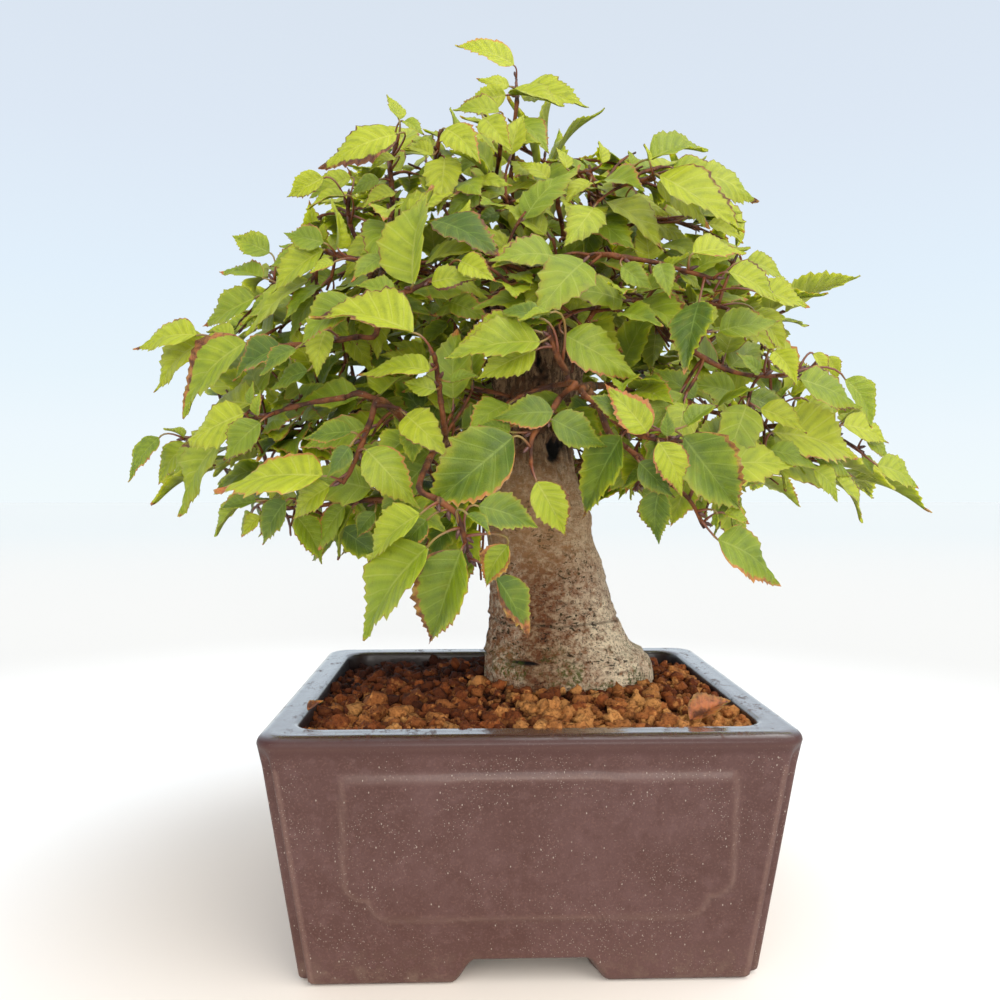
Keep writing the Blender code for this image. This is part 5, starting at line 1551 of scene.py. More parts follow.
def blade_teeth(s, u, row, width, scale, draw):
    """How far each place of a blade is pushed out and ahead by its teeth and up by its pleats."""
    wave = np.sin(math.pi * s)
    phase = row % ROWS_PER_VEIN
    teeth = np.clip(wave * 1.6, 0.0, 1.0) * scale
    rough = 1.0 + 0.5 * np.array([draw.uniform(-1, 1) for _ in range(2 * (row[-1] + 1))])
    rough = rough[row + (row[-1] + 1) * (u > 0)]
    at_rim = np.clip((np.abs(u) - 0.9) / 0.1, 0.0, 1.0)
    out = np.array(TOOTH_OUT)[phase] * teeth * rough * at_rim
    ahead = np.array(TOOTH_AHEAD)[phase] * teeth * at_rim
    pleat = np.array(PLEAT_PROFILE)[phase] * PLEAT * scale * np.clip(np.abs(u) * 4.0, 0.0, 1.0)
    pleat *= (1.0 - 0.45 * at_rim) * np.clip(wave * 2.0, 0.0, 1.0)
    return out * np.clip(width * 2.0, 0.3, 1.0), ahead, pleat


def blade_corners(leaf, template, draw):
    """A blade's points: pleated, toothed, arched and a little curled."""
    s, u, row, rim, faces, picks, vein_pairs = template
    length, along, across, face = leaf_frame(leaf["base"], leaf["tip"], leaf["face"])
    half = leaf["half_width"] * 0.98
    wave = np.sin(math.pi * s)
    side, sign = np.abs(u), np.sign(u)
    share = side ** 1.15
    edge_t = s + LEAF_SWEEP * wave
    t = s - LEAF_SWEEP * wave + 2.0 * LEAF_SWEEP * wave * share
    width = np.interp(edge_t, *np.transpose(BLADE_WIDTHS))
    out, ahead, pleat = blade_teeth(s, u, row, width, length / BLADE_LENGTH, draw)
    lateral = side * width * half + out
    arch = LEAF_ARCH * length * np.sin(math.pi * np.minimum(t * 1.1, 1.0))
    bend = draw.uniform(-0.05, 0.07) * length * t * t
    fold = leaf.get("fold", draw.uniform(0.10, 0.52)) * lateral
    curl = draw.uniform(-0.10, 0.05) * length * share * share * wave
    ripple = np.sin(t * draw.uniform(11, 17) + draw.uniform(0, 6) + 1.5 * sign) * 0.018 * length * share
    twist = draw.uniform(-0.22, 0.22) * (t - 0.3) * lateral * sign
    groove = np.exp(-(side * 5.0) ** 2)
    height = arch + fold + curl + ripple + twist + pleat - bend - 0.16 * groove
    sway = draw.uniform(-0.05, 0.05) * length * np.sin(math.pi * t)
    spot = np.array(leaf["base"]) + np.outer(t * length + ahead, along) + np.outer(height, face)
    spot = spot + np.outer(lateral * sign + sway, across)
    skin = np.array(face) * LEAF_SKIN
    ridge = 0.34 * groove * (1.0 - 0.6 * s) + 0.07 * (row % ROWS_PER_VEIN == 0) * np.clip(side * 4, 0, 1)
    upper = spot + np.where(rim, 0.0, 1.0)[:, None] * skin
    lower = spot - skin - np.outer(ridge, face)
    corners = np.concatenate([upper, lower[~rim]])
    veins = np.column_stack([s * vein_pairs, u, t])
    veins = np.concatenate([veins, veins[~rim]])
    return corners, faces, picks, veins, np.concatenate([rim, np.zeros((~rim).sum(), bool)])


def bend_through(start, middle, stop, steps):
    """Points of one soft bend."""
    points = []
    for step in range(steps + 1):
        t = step / steps
        points.append(start * (1 - t) ** 2 + middle * (2 * t * (1 - t)) + stop * t ** 2)
    return points


def nearest_on(path, place):
    """The point of a path nearest to a place."""
    best = None
    for start, stop in zip(path, path[1:]):
        span = stop - start
        share = clamp((place - start).dot(span) / max(span.dot(span), 1e-9))
        spot = start + span * share
        away = (spot - place).length
        if best is None or away < best[0]:
            best = (away, spot, span.normalized())
    return best[1], best[2]


def add_leaf(heap, leaf, template, path, draw, sides=6, bends=6):
    """One leaf with its petiole and a bud where it leaves the twig."""
    corners, faces, picks, veins, edge = blade_corners(leaf, template, draw)
    looks, burns = leaf_looks(leaf, draw)
    heap.add(corners, faces, picks, {"veins": veins, "looks": looks, "burns": burns}, edge)
    root, way = nearest_on(path, leaf["root"])
    _, along, _, face = leaf_frame(leaf["base"], leaf["tip"], leaf["face"])
    base = leaf["base"] + along * 0.5 - face * 0.12
    span = (base - root).length
    middle = base - along * (0.45 * span) + Vector((0.0, 0.0, 0.05 * span))
    steps = np.linspace(0.0, 1.0, bends + 1)
    radii = np.interp(steps, *np.transpose(STALK_RADII)).tolist()
    corners, faces = tube(bend_through(root, middle, base, bends), radii, sides)
    steps = np.repeat(steps, sides)
    heap.add(corners, faces, STALK_LOOK, {"veins": np.column_stack([steps, steps, steps]),
                                          "looks": looks, "burns": (0, 0, 0)})
    out = (base - root).normalized()
    bud_way = (way * 0.8 + out * 0.5).normalized()
    bud = [root + out * aside + bud_way * ahead for aside, ahead, _ in BUD_RINGS]
    corners, faces = tube(bud, [radius for _, _, radius in BUD_RINGS], sides - 1)
    heap.add(corners, faces, BUD_LOOK, {"veins": (0, 0, 0), "looks": looks, "burns": (0, 0, 0)})


def add_twig(heap, path, roots, root_radius, tip_radius, sides, draw, pick, closeness=1.3):
    """A knobbly stem that thickens where leaves leave it."""
    points = []
    for start, stop in zip(path, path[1:]):
        steps = max(1, round((stop - start).length / closeness))
        points += [start.lerp(stop, step / steps) for step in range(steps)]
    points.append(path[-1])
    away = Vector((draw.uniform(-50, 50), draw.uniform(-50, 50), 0.0))
    last = len(points) - 1
    spots = []
    radii = []
    for index, place in enumerate(points):
        radius = root_radius + (tip_radius - root_radius) * (index / last)
        near = min(((root - place).length for root in roots), default=9.0)
        swell = 1.0 + 0.38 * math.exp(-(near / 0.9) ** 2) + 0.26 * noise.noise(place * 0.34 + away)
        swell += 0.12 * noise.noise(place * 1.1 + away)
        fade = min(index, last - index, 2) / 2.0
        shake = Vector((noise.noise(place * 0.16 + away), noise.noise(place * 0.16 - away), 0.0))
        spots.append(place + shake * (0.35 * fade * min(radius, 1.6)))
        radii.append(radius * swell)
    corners, faces = tube(spots, radii, sides)
    steps = np.repeat(np.linspace(0.0, 1.0, len(spots)), sides)
    thick = np.repeat(np.array(radii), sides)
    heap.add(corners, faces, pick, {"veins": np.column_stack([steps, thick, steps]),
                                    "looks": (draw.random(), 0, 0), "burns": (0, 0, 0)})
    return spots


# Leaves that were seen browned, by the tip's column and row: the tip's share, then the left
# margin's and the right margin's
BROWNED = {
    (203, 493): (0.16, 0.1, 0.2), (311, 321): (0.2, 0.2, 0.1), (429, 644): (0.14, 0.26, 0.12),
    (485, 588): (0.12, 0.35, 0.3), (526, 640): (0.3, 0.45, 0.1), (743, 510): (0.06, 0.0, 0.2),
    (784, 588): (0.1, 0.2, 0.1), (684, 373): (0.08, 0.05, 0.0), (421, 508): (0.04, 0.0, 0.15),
    (606, 382): (0.12, 0.2, 0.3), (683, 497): (0.05, 0.2, 0.15), (319, 170): (0.12, 0.1, 0.3),
    (181, 422): (0.05, 0.35, 0.0), (183, 446): (0.12, 0.05, 0.05), (225, 461): (0.1, 0.1, 0.1),
    (291, 519): (0.1, 0.0, 0.1), (927, 488): (0.1, 0.05, 0.05), (862, 459): (0.06, 0.1, 0.0),
    (476, 280): (0.1, 0.0, 0.3), (244, 537): (0.15, 0.1, 0.1), (318, 550): (0.1, 0.2, 0.0),
}


# Leaves that were seen deep green, and those seen bright yellow-green, by the tip's column and row; their
# tones hold the light and shade they were seen in as well as their own colour, so they are partly painted
# light
DEEP_LEAVES = {
    (424, 509), (582, 520), (609, 446), (492, 418), (478, 424), (491, 534), (539, 528), (684, 373),
    (622, 489), (676, 498), (588, 395), (592, 383), (474, 225), (327, 478), (402, 553), (262, 377),
    (233, 381), (503, 262), (440, 262), (308, 420), (428, 150), (566, 276), (628, 246), (306, 440),
}
BRIGHT_LEAVES = {
    (748, 252), (745, 232), (763, 198), (784, 299), (812, 307), (787, 352), (778, 352), (140, 354),
    (158, 394), (203, 493), (357, 375), (683, 497), (183, 446), (311, 321), (788, 278), (870, 523),
    (606, 382), (894, 443), (272, 297), (307, 211), (336, 200), (244, 537), (589, 108),
}


def leaf_looks(leaf, draw):
    """A leaf's tone, from deep to yellow green, with painted light by its place in the crown, and how far
    its tip and margins are browned.
    """
    middle = (leaf["base"] + leaf["tip"]) * 0.5
    # painted light: the tone rises with height, towards the crown's outer face and to the right, where
    # light falls, and sinks inside the crown where shade falls; the draw adds random tone
    high = (middle.z - 130.0) / 130.0
    tone = 0.40 + 0.40 * high + 0.25 * (dome_share(middle) - 0.8) + draw.uniform(-0.34, 0.34)
    tone += 0.22 * clamp((middle.x - 20.0) / 60.0)
    mark = leaf.get("mark")
    if mark in DEEP_LEAVES:
        tone = draw.uniform(0.04, 0.22)
    if mark in BRIGHT_LEAVES:
        tone = draw.uniform(0.75, 0.95)
    tip, left, right = BROWNED.get(mark) or (
        draw.choice((0.0, 0.02, 0.04, 0.06, 0.09, 0.14)), draw.choice((0, 0, 0.02, 0.12)),
        draw.choice((0, 0, 0.04, 0.16)))
    if leaf_frame(leaf["base"], leaf["tip"], leaf["face"])[2].x <= 0.0:
        left, right = right, left
    return (clamp(tone), draw.random(), draw.random()), (tip, left, right)


def frame_place(point):
    """The column and row at which a point is seen."""
    reach = EYE_FOCUS / (point.y - EYE.y)
    return EYE_COLUMN + (point.x - EYE.x) * reach, EYE_ROW - (point.z - EYE.z) * reach


# The crown's outline as it was seen, as columns and rows
CROWN_OUTLINE = (
    (455, 44), (488, 38), (515, 62), (524, 74), (548, 72), (592, 107), (560, 114), (552, 148), (575, 158),
    (600, 138), (614, 158), (638, 160), (645, 143), (712, 142), (704, 154), (724, 168), (764, 196),
    (748, 234), (764, 262), (812, 306), (800, 318), (798, 350), (812, 352), (814, 336), (836, 346),
    (848, 376), (872, 394), (880, 428), (902, 446), (928, 488), (896, 474), (882, 478), (872, 522),
    (846, 506), (826, 482), (796, 490), (762, 482), (748, 504), (756, 528), (786, 590), (752, 572),
    (716, 544), (698, 516), (682, 512), (662, 546), (640, 502), (604, 500), (588, 524), (566, 540),
    (528, 560), (504, 596), (470, 590), (440, 646), (418, 640), (410, 600), (368, 642), (384, 590),
    (398, 562), (372, 566), (342, 562), (322, 566), (298, 556), (262, 546), (226, 540), (222, 512),
    (198, 524), (174, 540), (164, 500), (158, 484), (134, 484), (140, 440), (166, 428), (184, 402),
    (158, 396), (184, 352), (140, 356), (200, 324), (240, 294), (222, 270), (262, 270), (236, 238),
    (268, 222), (284, 246), (302, 218), (290, 200), (314, 180), (344, 176), (320, 168), (340, 134),
    (384, 114), (388, 96), (420, 120), (438, 124), (454, 102), (472, 82), (500, 78),
)
# Where the trunk and its head show through, as columns and rows
TRUNK_WINDOWS = (
    ((504, 428), (572, 424), (604, 500), (650, 690), (478, 690), (492, 520)),
    ((484, 352), (560, 330), (618, 330), (604, 398), (500, 402)),
)


def place_seen_leaves(twigs, solids, placed):
    """The leaves that were seen, each marked with its tip's place in the frame."""
    for name, plan in SHOOTS.items():
        for row in plan["leaves"]:
            count = len(placed)
            place_seen_leaf(name, row, twigs[name], solids, placed)
            if len(placed) > count:
                placed[-1]["mark"] = row[2:4]


def cover(leaf, cells, nearest):
    """Note how near the nearest leaf lies behind each cell of the frame."""
    edge = np.array([frame_place(point) for point in leaf_points(leaf)[0]])
    near = np.flatnonzero(np.all((cells > edge.min(0)) & (cells < edge.max(0)), axis=1))
    if len(near):
        near = near[inside_by(cells[near], edge) > 0.0]
        nearest[near] = np.minimum(nearest[near], leaf["base"].y)


def bare_wood(branches, cells):
    """How near the nearest branch lies behind each cell of the frame."""
    nearest = np.full(len(cells), FAR_AWAY)
    for _, route in branches.values():
        for start, stop in zip(route, route[1:]):
            for share in (0.0, 0.5):
                spot = start.lerp(stop, share)
                hit = np.hypot(*(cells - frame_place(spot)).T) < CELL
                nearest[hit] = np.minimum(nearest[hit], spot.y)
    return nearest


def carriers(twigs, branches):
    """Points along every twig and branch that may carry a side twig."""
    points = [point for path in twigs.values() for point in path[1:-1]]
    return points + [point for _, route in branches.values() for point in route[4:]]


def inner_leaf(line, share, side, draw):
    """A side twig's leaf, which turns its face to the eye on the crown's near side."""
    leaf = ruled_leaf(line, share, side, INNER_HABIT, draw)
    leaf["face"].y -= FACE_TO_EYE * clamp((NEAR_SIDE - leaf["root"].y) / NEAR_FADE)
    leaf["half_width"] = 0.5 * draw.uniform(*INNER_SHAPE) * leaf["length"]
    return leaf


def stays_in_crown(leaf):
    """Whether a leaf lies inside the crown as it was seen and hides no part of the trunk."""
    base, tip = leaf["base"], leaf["tip"]
    if dome_share(tip) > 0.97 or tip.z < CROWN_FLOOR:
        return False
    outline = leaf_points(leaf)[0]
    edge = np.array([frame_place(point) for point in (base, tip, outline[3], outline[-4])])
    if inside_by(edge, np.array(CROWN_OUTLINE)).min() < 1.0:
        return False
    return base.y >= TRUNK_HEAD.y or all(inside_by(edge, np.array(window, dtype=float)).max() <= 0.0
                                         for window in TRUNK_WINDOWS)


def blade_is_free(leaf, placed, solids):
    """Whether a side twig's leaf stays inside the crown and off the others."""
    if not stays_in_crown(leaf):
        return False
    tree = BVHTree.FromPolygons(*leaf_shape(leaf))
    middle = (leaf["base"] + leaf["tip"]) * 0.5
    for other in placed:
        if (other["middle"] - middle).length < (other["length"] + leaf["length"]) * 0.62:
            if "tree" not in other:
                other["tree"] = BVHTree.FromPolygons(*leaf_shape(other))
            if tree.overlap(other["tree"]):
                return False
    if any(len(tree.overlap(solid)) > 2 for solid in solids):
        return False
    leaf["tree"] = tree
    leaf["middle"] = middle
    return True


def side_twig(target, spots, cloud, draw):
    """A side twig's path from the nearest carrier to a place, if that suits."""
    _, index, away = cloud.find(target)
    if not SIDE_TWIG_SHORTEST < away < SIDE_TWIG_LONGEST:
        return None
    start = spots[index]
    rise = Vector((draw.uniform(-2, 2), draw.uniform(-2, 2), 0.12 * away))
    return bend_through(start, (start + target) * 0.5 + rise, target, 5)


def inner_target(draw, open_cells, bare_cells, cells, wood):
    """A place inside the crown: at a cell that is still open, or anywhere in its shell."""
    chance = draw.random()
    if bare_cells and chance < BEFORE_WOOD:
        index = draw.choice(bare_cells)
        column, row = cells[index]
        return seen(column, row, max(dome_back(column, row) + 3.0, wood[index] - draw.uniform(4.0, 18.0)))
    if open_cells and chance < IN_OPEN_CELL:
        column, row = cells[draw.choice(open_cells)]
        return seen(column, row, dome_back(column, row) + draw.uniform(12.0, 75.0))
    if chance < BEHIND_HEAD:
        bearing = draw.uniform(0.5, 2.7)
        out = Vector((math.cos(bearing), math.sin(bearing), 0.0)) * draw.uniform(26.0, 62.0)
        return TRUNK_HEAD + out + Vector((0.0, 0.0, draw.uniform(-38.0, 45.0)))
    reach = dome_spoke(draw.uniform(0.0, math.tau), math.asin(draw.uniform(-0.30, 0.96)))
    return CROWN_MIDDLE + reach * draw.uniform(0.45, 0.90)


def frame_cells():
    """The middles of the frame's cells, and whether each lies in the crown off the trunk."""
    cells = np.array([(column, row) for row in range(40, 650, CELL) for column in range(130, 930, CELL)],
                     dtype=float)
    inside = inside_by(cells, np.array(CROWN_OUTLINE, dtype=float)) > 4.0
    for window in TRUNK_WINDOWS:
        inside &= inside_by(cells, np.array(window, dtype=float)) < 0.0
    return cells, inside


def side_leaves(line, placed, solids, draw):
    """The leaves of one side twig, each drawn again where one is in the way."""
    shares = (1.0, 0.82, 0.64, 0.46)[:2 + int((line[-1] - line[0]).length / 9.0)]
    leaves = []
    for step, share in enumerate(shares):
        for _ in range(3):
            leaf = inner_leaf(line, share, 1.0 if step % 2 else -1.0, draw)
            if blade_is_free(leaf, placed, solids):
                leaves.append(leaf)
                placed.append(leaf)
                break
    return leaves


def grow_inner_shoots(twigs, branches, solids, placed):
    """Short side twigs with small leaves, where the crown is still open."""
    draw = random.Random(INNER_SEED)
    cells, inside = frame_cells()
    nearest = np.full(len(cells), FAR_AWAY)
    wood = bare_wood(branches, cells)
    for leaf in placed:
        cover(leaf, cells, nearest)
    spots = carriers(twigs, branches)
    cloud = KDTree(len(spots))
    for index, spot in enumerate(spots):
        cloud.insert(spot, index)
    cloud.balance()
    shoots = []
    count = 0
    for attempt in range(INNER_TRIES):
        if count >= INNER_LEAVES:
            break
        if attempt % 30 == 0:
            open_cells = np.flatnonzero(inside & (nearest == FAR_AWAY)).tolist()
            bare_cells = np.flatnonzero(inside & (wood < nearest)).tolist()
        line = side_twig(inner_target(draw, open_cells, bare_cells, cells, wood), spots, cloud, draw)
        if line is None or dome_share(line[-1]) > 0.92 or line[-1].z < 96.0:
            continue
        leaves = side_leaves(line, placed, solids, draw)
        for leaf in leaves:
            cover(leaf, cells, nearest)
        if leaves:
            shoots.append((line, leaves))
            count += len(leaves)
    return shoots


def build_inner_shoots(shoots, materials):
    """The side twigs, gathered in pieces by their bearing round the trunk."""
    template = leaf_template(5, 2)
    heaps = {}
    draw = random.Random(INNER_SEED + 1)
    for line, leaves in shoots:
        away = line[-1] - CROWN_MIDDLE
        sector = int((math.atan2(away.y, away.x) + math.pi) / math.tau * 8.0) % 8
        heap = heaps.setdefault(sector, Heap())
        roots = [leaf["root"] for leaf in leaves]
        stem = add_twig(heap, line, roots, *SIDE_TWIG_RADII, 5, draw, TWIG_LOOK, 2.0)
        for leaf in leaves:
            add_leaf(heap, leaf, template, stem, draw, 4, 4)
    for sector, heap in sorted(heaps.items()):
        heap.piece(f"side_shoots_{sector}", materials, (), "leaf_green")


def build_fallen(materials):
    """A few fallen leaves that lie on the soil."""
    draw = random.Random(FALLEN_SEED)
    heap = Heap()
    template = leaf_template(7, 2)
    for base, tip, burns in FALLEN:
        base, tip = seen(*base), seen(*tip)
        length = (tip - base).length
        leaf = {"base": base, "tip": tip, "face": FALLEN_FACE, "half_width": 0.3 * length, "fold": 0.5}
        corners, faces, picks, veins, edge = blade_corners(leaf, template, draw)
        heap.add(corners, faces, picks, {"veins": veins, "looks": FALLEN_LOOKS, "burns": burns}, edge)
    heap.piece("fallen_leaves", materials, (), "leaf_green")


def carried_at(place, branches):
    """The middle of the branch that carries a shoot, or a spot just inside the trunk."""
    spots = [nearest_on(route, place)[0] for _, route in branches.values()]
    best = min(spots, key=lambda spot: (spot - place).length)
    if (best - place).length < 5.0:
        return best
    inward = Vector((TRUNK_RINGS[8][1], TRUNK_RINGS[8][2], place.z)) - place
    return place + inward.normalized() * 2.0


def build_sprays(twigs, branches, placed, materials):
    """Each leafy shoot as one piece in place of its node."""
    templates = (leaf_template(6, 2), leaf_template(7, 3))
    for name, path in twigs.items():
        draw = random.Random("spray " + name)
        heap = Heap()
        leaves = [leaf for leaf in placed if leaf["twig"] == name]
        rooted = [carried_at(path[0], branches)] + list(path)
        roots = [leaf["root"] for leaf in leaves]
        line = add_twig(heap, rooted, roots, *SHOOT_RADII, 8, draw, TWIG_LOOK)
        for leaf in leaves:
            add_leaf(heap, leaf, templates[name in SHOOTS], line, draw)
        heap.piece(f"shoot_{name}", materials, (f"spray_{name}",), "leaf_green")


def curve_between(values, spot, closed):
    """Smooth values between rows of an array, at places counted in rows."""
    count = len(values)
    index = np.floor(spot).astype(int)
    t = (spot - index)[:, None, None]
    rows = [(index + step) % count if closed else np.clip(index + step, 0, count - 1)
            for step in (-1, 0, 1, 2)]
    return curve_at(*(values[row] for row in rows), t)


def bark_lift(x, y, z):
    """How far the bark stands out at a place: lumps, ridges, creases and its knobbed head."""
    place = Vector((x, y, z))
    head = clamp((z - HEAD_FROM) / HEAD_FADE)
    lift = (1.1 + 1.3 * head) * noise.noise(Vector((x, y, z * 0.55)) * 0.075)
    lift += (0.45 + 0.9 * head) * noise.noise(place * 0.21)
    lift += (0.34 + 0.5 * head) * noise.noise(place * 0.55)
    lift += 0.16 * noise.noise(place * 1.25)
    lift += 1.3 * head * noise.noise(Vector((x * 0.5, y * 0.5, z * 0.12)))
    lift -= 0.35 * max(0.0, noise.noise(Vector((x * 0.03, y * 0.03, z * 0.36))) - 0.2)
    for height, depth in CREASES:
        above = z - height - noise.noise(Vector((x, y, height)) * 0.06)
        lift -= depth * math.exp(-(above / 0.5) ** 2)
        lift += 0.6 * depth * math.exp(-((above - 1.2) / 0.7) ** 2)
    return lift


def trunk_surface():
    """The trunk's skin: its rings made smooth, then bark, creases and hollows."""
    draw = random.Random(TRUNK_SEED)
    rings = np.array([lumpy_ring(ring, draw) for ring in TRUNK_RINGS])
    rows = curve_between(rings, np.linspace(0.0, len(rings) - 1.0, TRUNK_UP), False)
    around = np.linspace(0.0, TRUNK_SIDES, TRUNK_AROUND, endpoint=False)
    skin = curve_between(rows.transpose(1, 0, 2), around, True).transpose(1, 0, 2)
    out = skin - skin.mean(axis=1, keepdims=True)
    out[:, :, 2] *= 0.3
    out /= np.linalg.norm(out, axis=2, keepdims=True)
    lift = np.array([[bark_lift(*spot) for spot in row] for row in skin])
    for place, half_wide, half_high, depth in HOLLOWS:
        away = (skin - np.array(seen(*place))) / (half_wide, HOLLOW_REACH, half_high)
        lift -= depth * np.exp(-(away ** 2).sum(axis=2))
    return skin + out * lift[:, :, None], lift


def build_trunk(heap):
    """The trunk's skin, closed at both ends."""
    skin, lift = trunk_surface()
    rows, around = skin.shape[:2]
    crown = skin[-1].mean(axis=0) + np.array((0.0, 0.0, 2.0))
    corners = np.concatenate([skin.reshape(-1, 3), [crown]])
    top = rows * around
    faces = ring_faces(rows, around)
    faces += [(top - around + i, top - around + (i + 1) % around, top) for i in range(around)]
    faces.append(tuple(reversed(range(around))))
    notes = np.zeros((len(corners), 3))
    notes[:-1, 2] = lift.ravel()
    heap.add(corners, faces, BARK_LOOK, {"veins": notes, "looks": (0.5, 0, 0), "burns": (0, 0, 0)})


def build_wood(knots, branches, materials):
    """Trunk, branches and cut stubs."""
    heap = Heap()
    build_trunk(heap)
    loads = branch_loads(knots, branches)
    draw = random.Random(WOOD_SEED)
    for name, (_, route) in branches.items():
        root = BRANCH_SHARE * TWIG_RADIUS * (1.0 + loads[name]) ** BRANCH_GROWTH
        add_twig(heap, route, [], root, 0.6 * TWIG_RADIUS, 10, draw, BRANCH_LOOK, 1.3)
    for points, root_radius, end_radius in CUT_BRANCHES.values():
        path = smooth_path([seen(*point) for point in points], 6)
        line = add_twig(heap, path, [], root_radius, end_radius, 12, draw, BRANCH_LOOK, 1.2)
        way = (line[-1] - line[-2]).normalized()
        ends = [line[-1] - way * 0.3, line[-1] + way * 0.15]
        cap, cap_faces = tube(ends, [end_radius * 0.98, end_radius * 0.8], 12)
        notes = {"veins": (0, 0, 0), "looks": (0.5, 0, 0), "burns": (0, 0, 0)}
        heap.add(cap, cap_faces, CUT_LOOK, notes)
    heap.piece("wood_barked", materials, ("wood",), "bark")


class Wire:
    """A node's output, which takes part in sums with numbers and other outputs."""

    def __init__(self, nodes, socket):
        self.nodes = nodes
        self.socket = socket

    def __add__(self, other):
        return self.nodes.math("ADD", self, other)

    def __radd__(self, other):
        return self.nodes.math("ADD", other, self)

    def __sub__(self, other):
        return self.nodes.math("SUBTRACT", self, other)

    def __rsub__(self, other):
        return self.nodes.math("SUBTRACT", other, self)

    def __mul__(self, other):
        return self.nodes.math("MULTIPLY", self, other)

    def __abs__(self):
        return self.nodes.math("ABSOLUTE", self)


class Nodes:
    """Short ways to make a material's nodes."""

    def __init__(self, name):
        self.material = bpy.data.materials.new(name)
        self.material.use_nodes = True
        self.tree = self.material.node_tree
        self.shader = self.tree.nodes["Principled BSDF"]

    def add(self, kind, *values, give=0, **fields):
        """One output of a new node, its fields set and its first sockets filled."""
        made = self.tree.nodes.new(kind)
        for field, value in fields.items():
            setattr(made, field, value)
        for socket, value in zip(made.inputs, values):
            self.put(socket, value)
        return Wire(self, made.outputs[give])

    def put(self, socket, value):
        """Link a socket's source or set its constant."""
        if isinstance(value, Wire):
            self.tree.links.new(value.socket, socket)
        else:
            socket.default_value = value

    def put_named(self, wire, **values):
        """Fill sockets of a wire's node by their names."""
        for name, value in values.items():
            self.put(wire.socket.node.inputs[name.replace("_", " ")], value)
        return wire

    def place(self):
        """Places on the object, in metres."""
        return self.add("ShaderNodeTexCoord", give="Object")

    def split(self, vector):
        """A vector's three numbers."""
        first = self.add("ShaderNodeSeparateXYZ", vector)
        return [Wire(self, socket) for socket in first.socket.node.outputs]

    def note(self, name):
        """A vector kept at the mesh's corners, as three numbers."""
        return self.split(self.add("ShaderNodeAttribute", attribute_name=name, give="Vector"))

    def math(self, operation, *values, clamp=False):
        """One sum of numbers."""
        return self.add("ShaderNodeMath", *values, operation=operation, use_clamp=clamp)

    def most(self, first, second):
        """The larger of two numbers."""
        return self.math("MAXIMUM", first, second)

    def step(self, value, low, high):
        """0 below low and 1 above high, smooth between."""
        return self.add("ShaderNodeMapRange", value, low, high, 0.0, 1.0,
                        interpolation_type="SMOOTHSTEP", clamp=True)

    def mix(self, share, first, second, blend="MIX"):
        """One colour out of two."""
        made = self.add("ShaderNodeMix", share, give=2, data_type="RGBA", blend_type=blend,
                        clamp_factor=True)
        for socket, value in zip(made.socket.node.inputs[6:8], (first, second)):
            self.put(socket, value)
        return made

    def noise(self, place, scale, detail=3.0, roughness=0.55):
        """Cloudy numbers round 0.5."""
        made = self.add("ShaderNodeTexNoise", place)
        return self.put_named(made, Scale=scale, Detail=detail, Roughness=roughness)

    def cells(self, place, scale, feature="F1"):
        """Distances in a field of random cells."""
        made = self.add("ShaderNodeTexVoronoi", place, feature=feature, give="Distance")
        return self.put_named(made, Scale=scale)

    def stretch(self, place, x, y, z):
        """Places scaled along each axis."""
        return self.add("ShaderNodeVectorMath", place, (x, y, z), operation="MULTIPLY")

    def bump(self, height, distance, strength):
        """A bumped normal."""
        made = self.add("ShaderNodeBump")
        return self.put_named(made, Height=height, Distance=distance, Strength=strength)

    def finish(self, colour, roughness, normal=None, **values):
        """Fill the shader's sockets."""
        values.update(Base_Color=colour, Roughness=roughness)
        if normal is not None:
            values["Normal"] = normal
        for name, value in values.items():
            self.put(self.shader.inputs[name.replace("_", " ")], value)
        return self.material


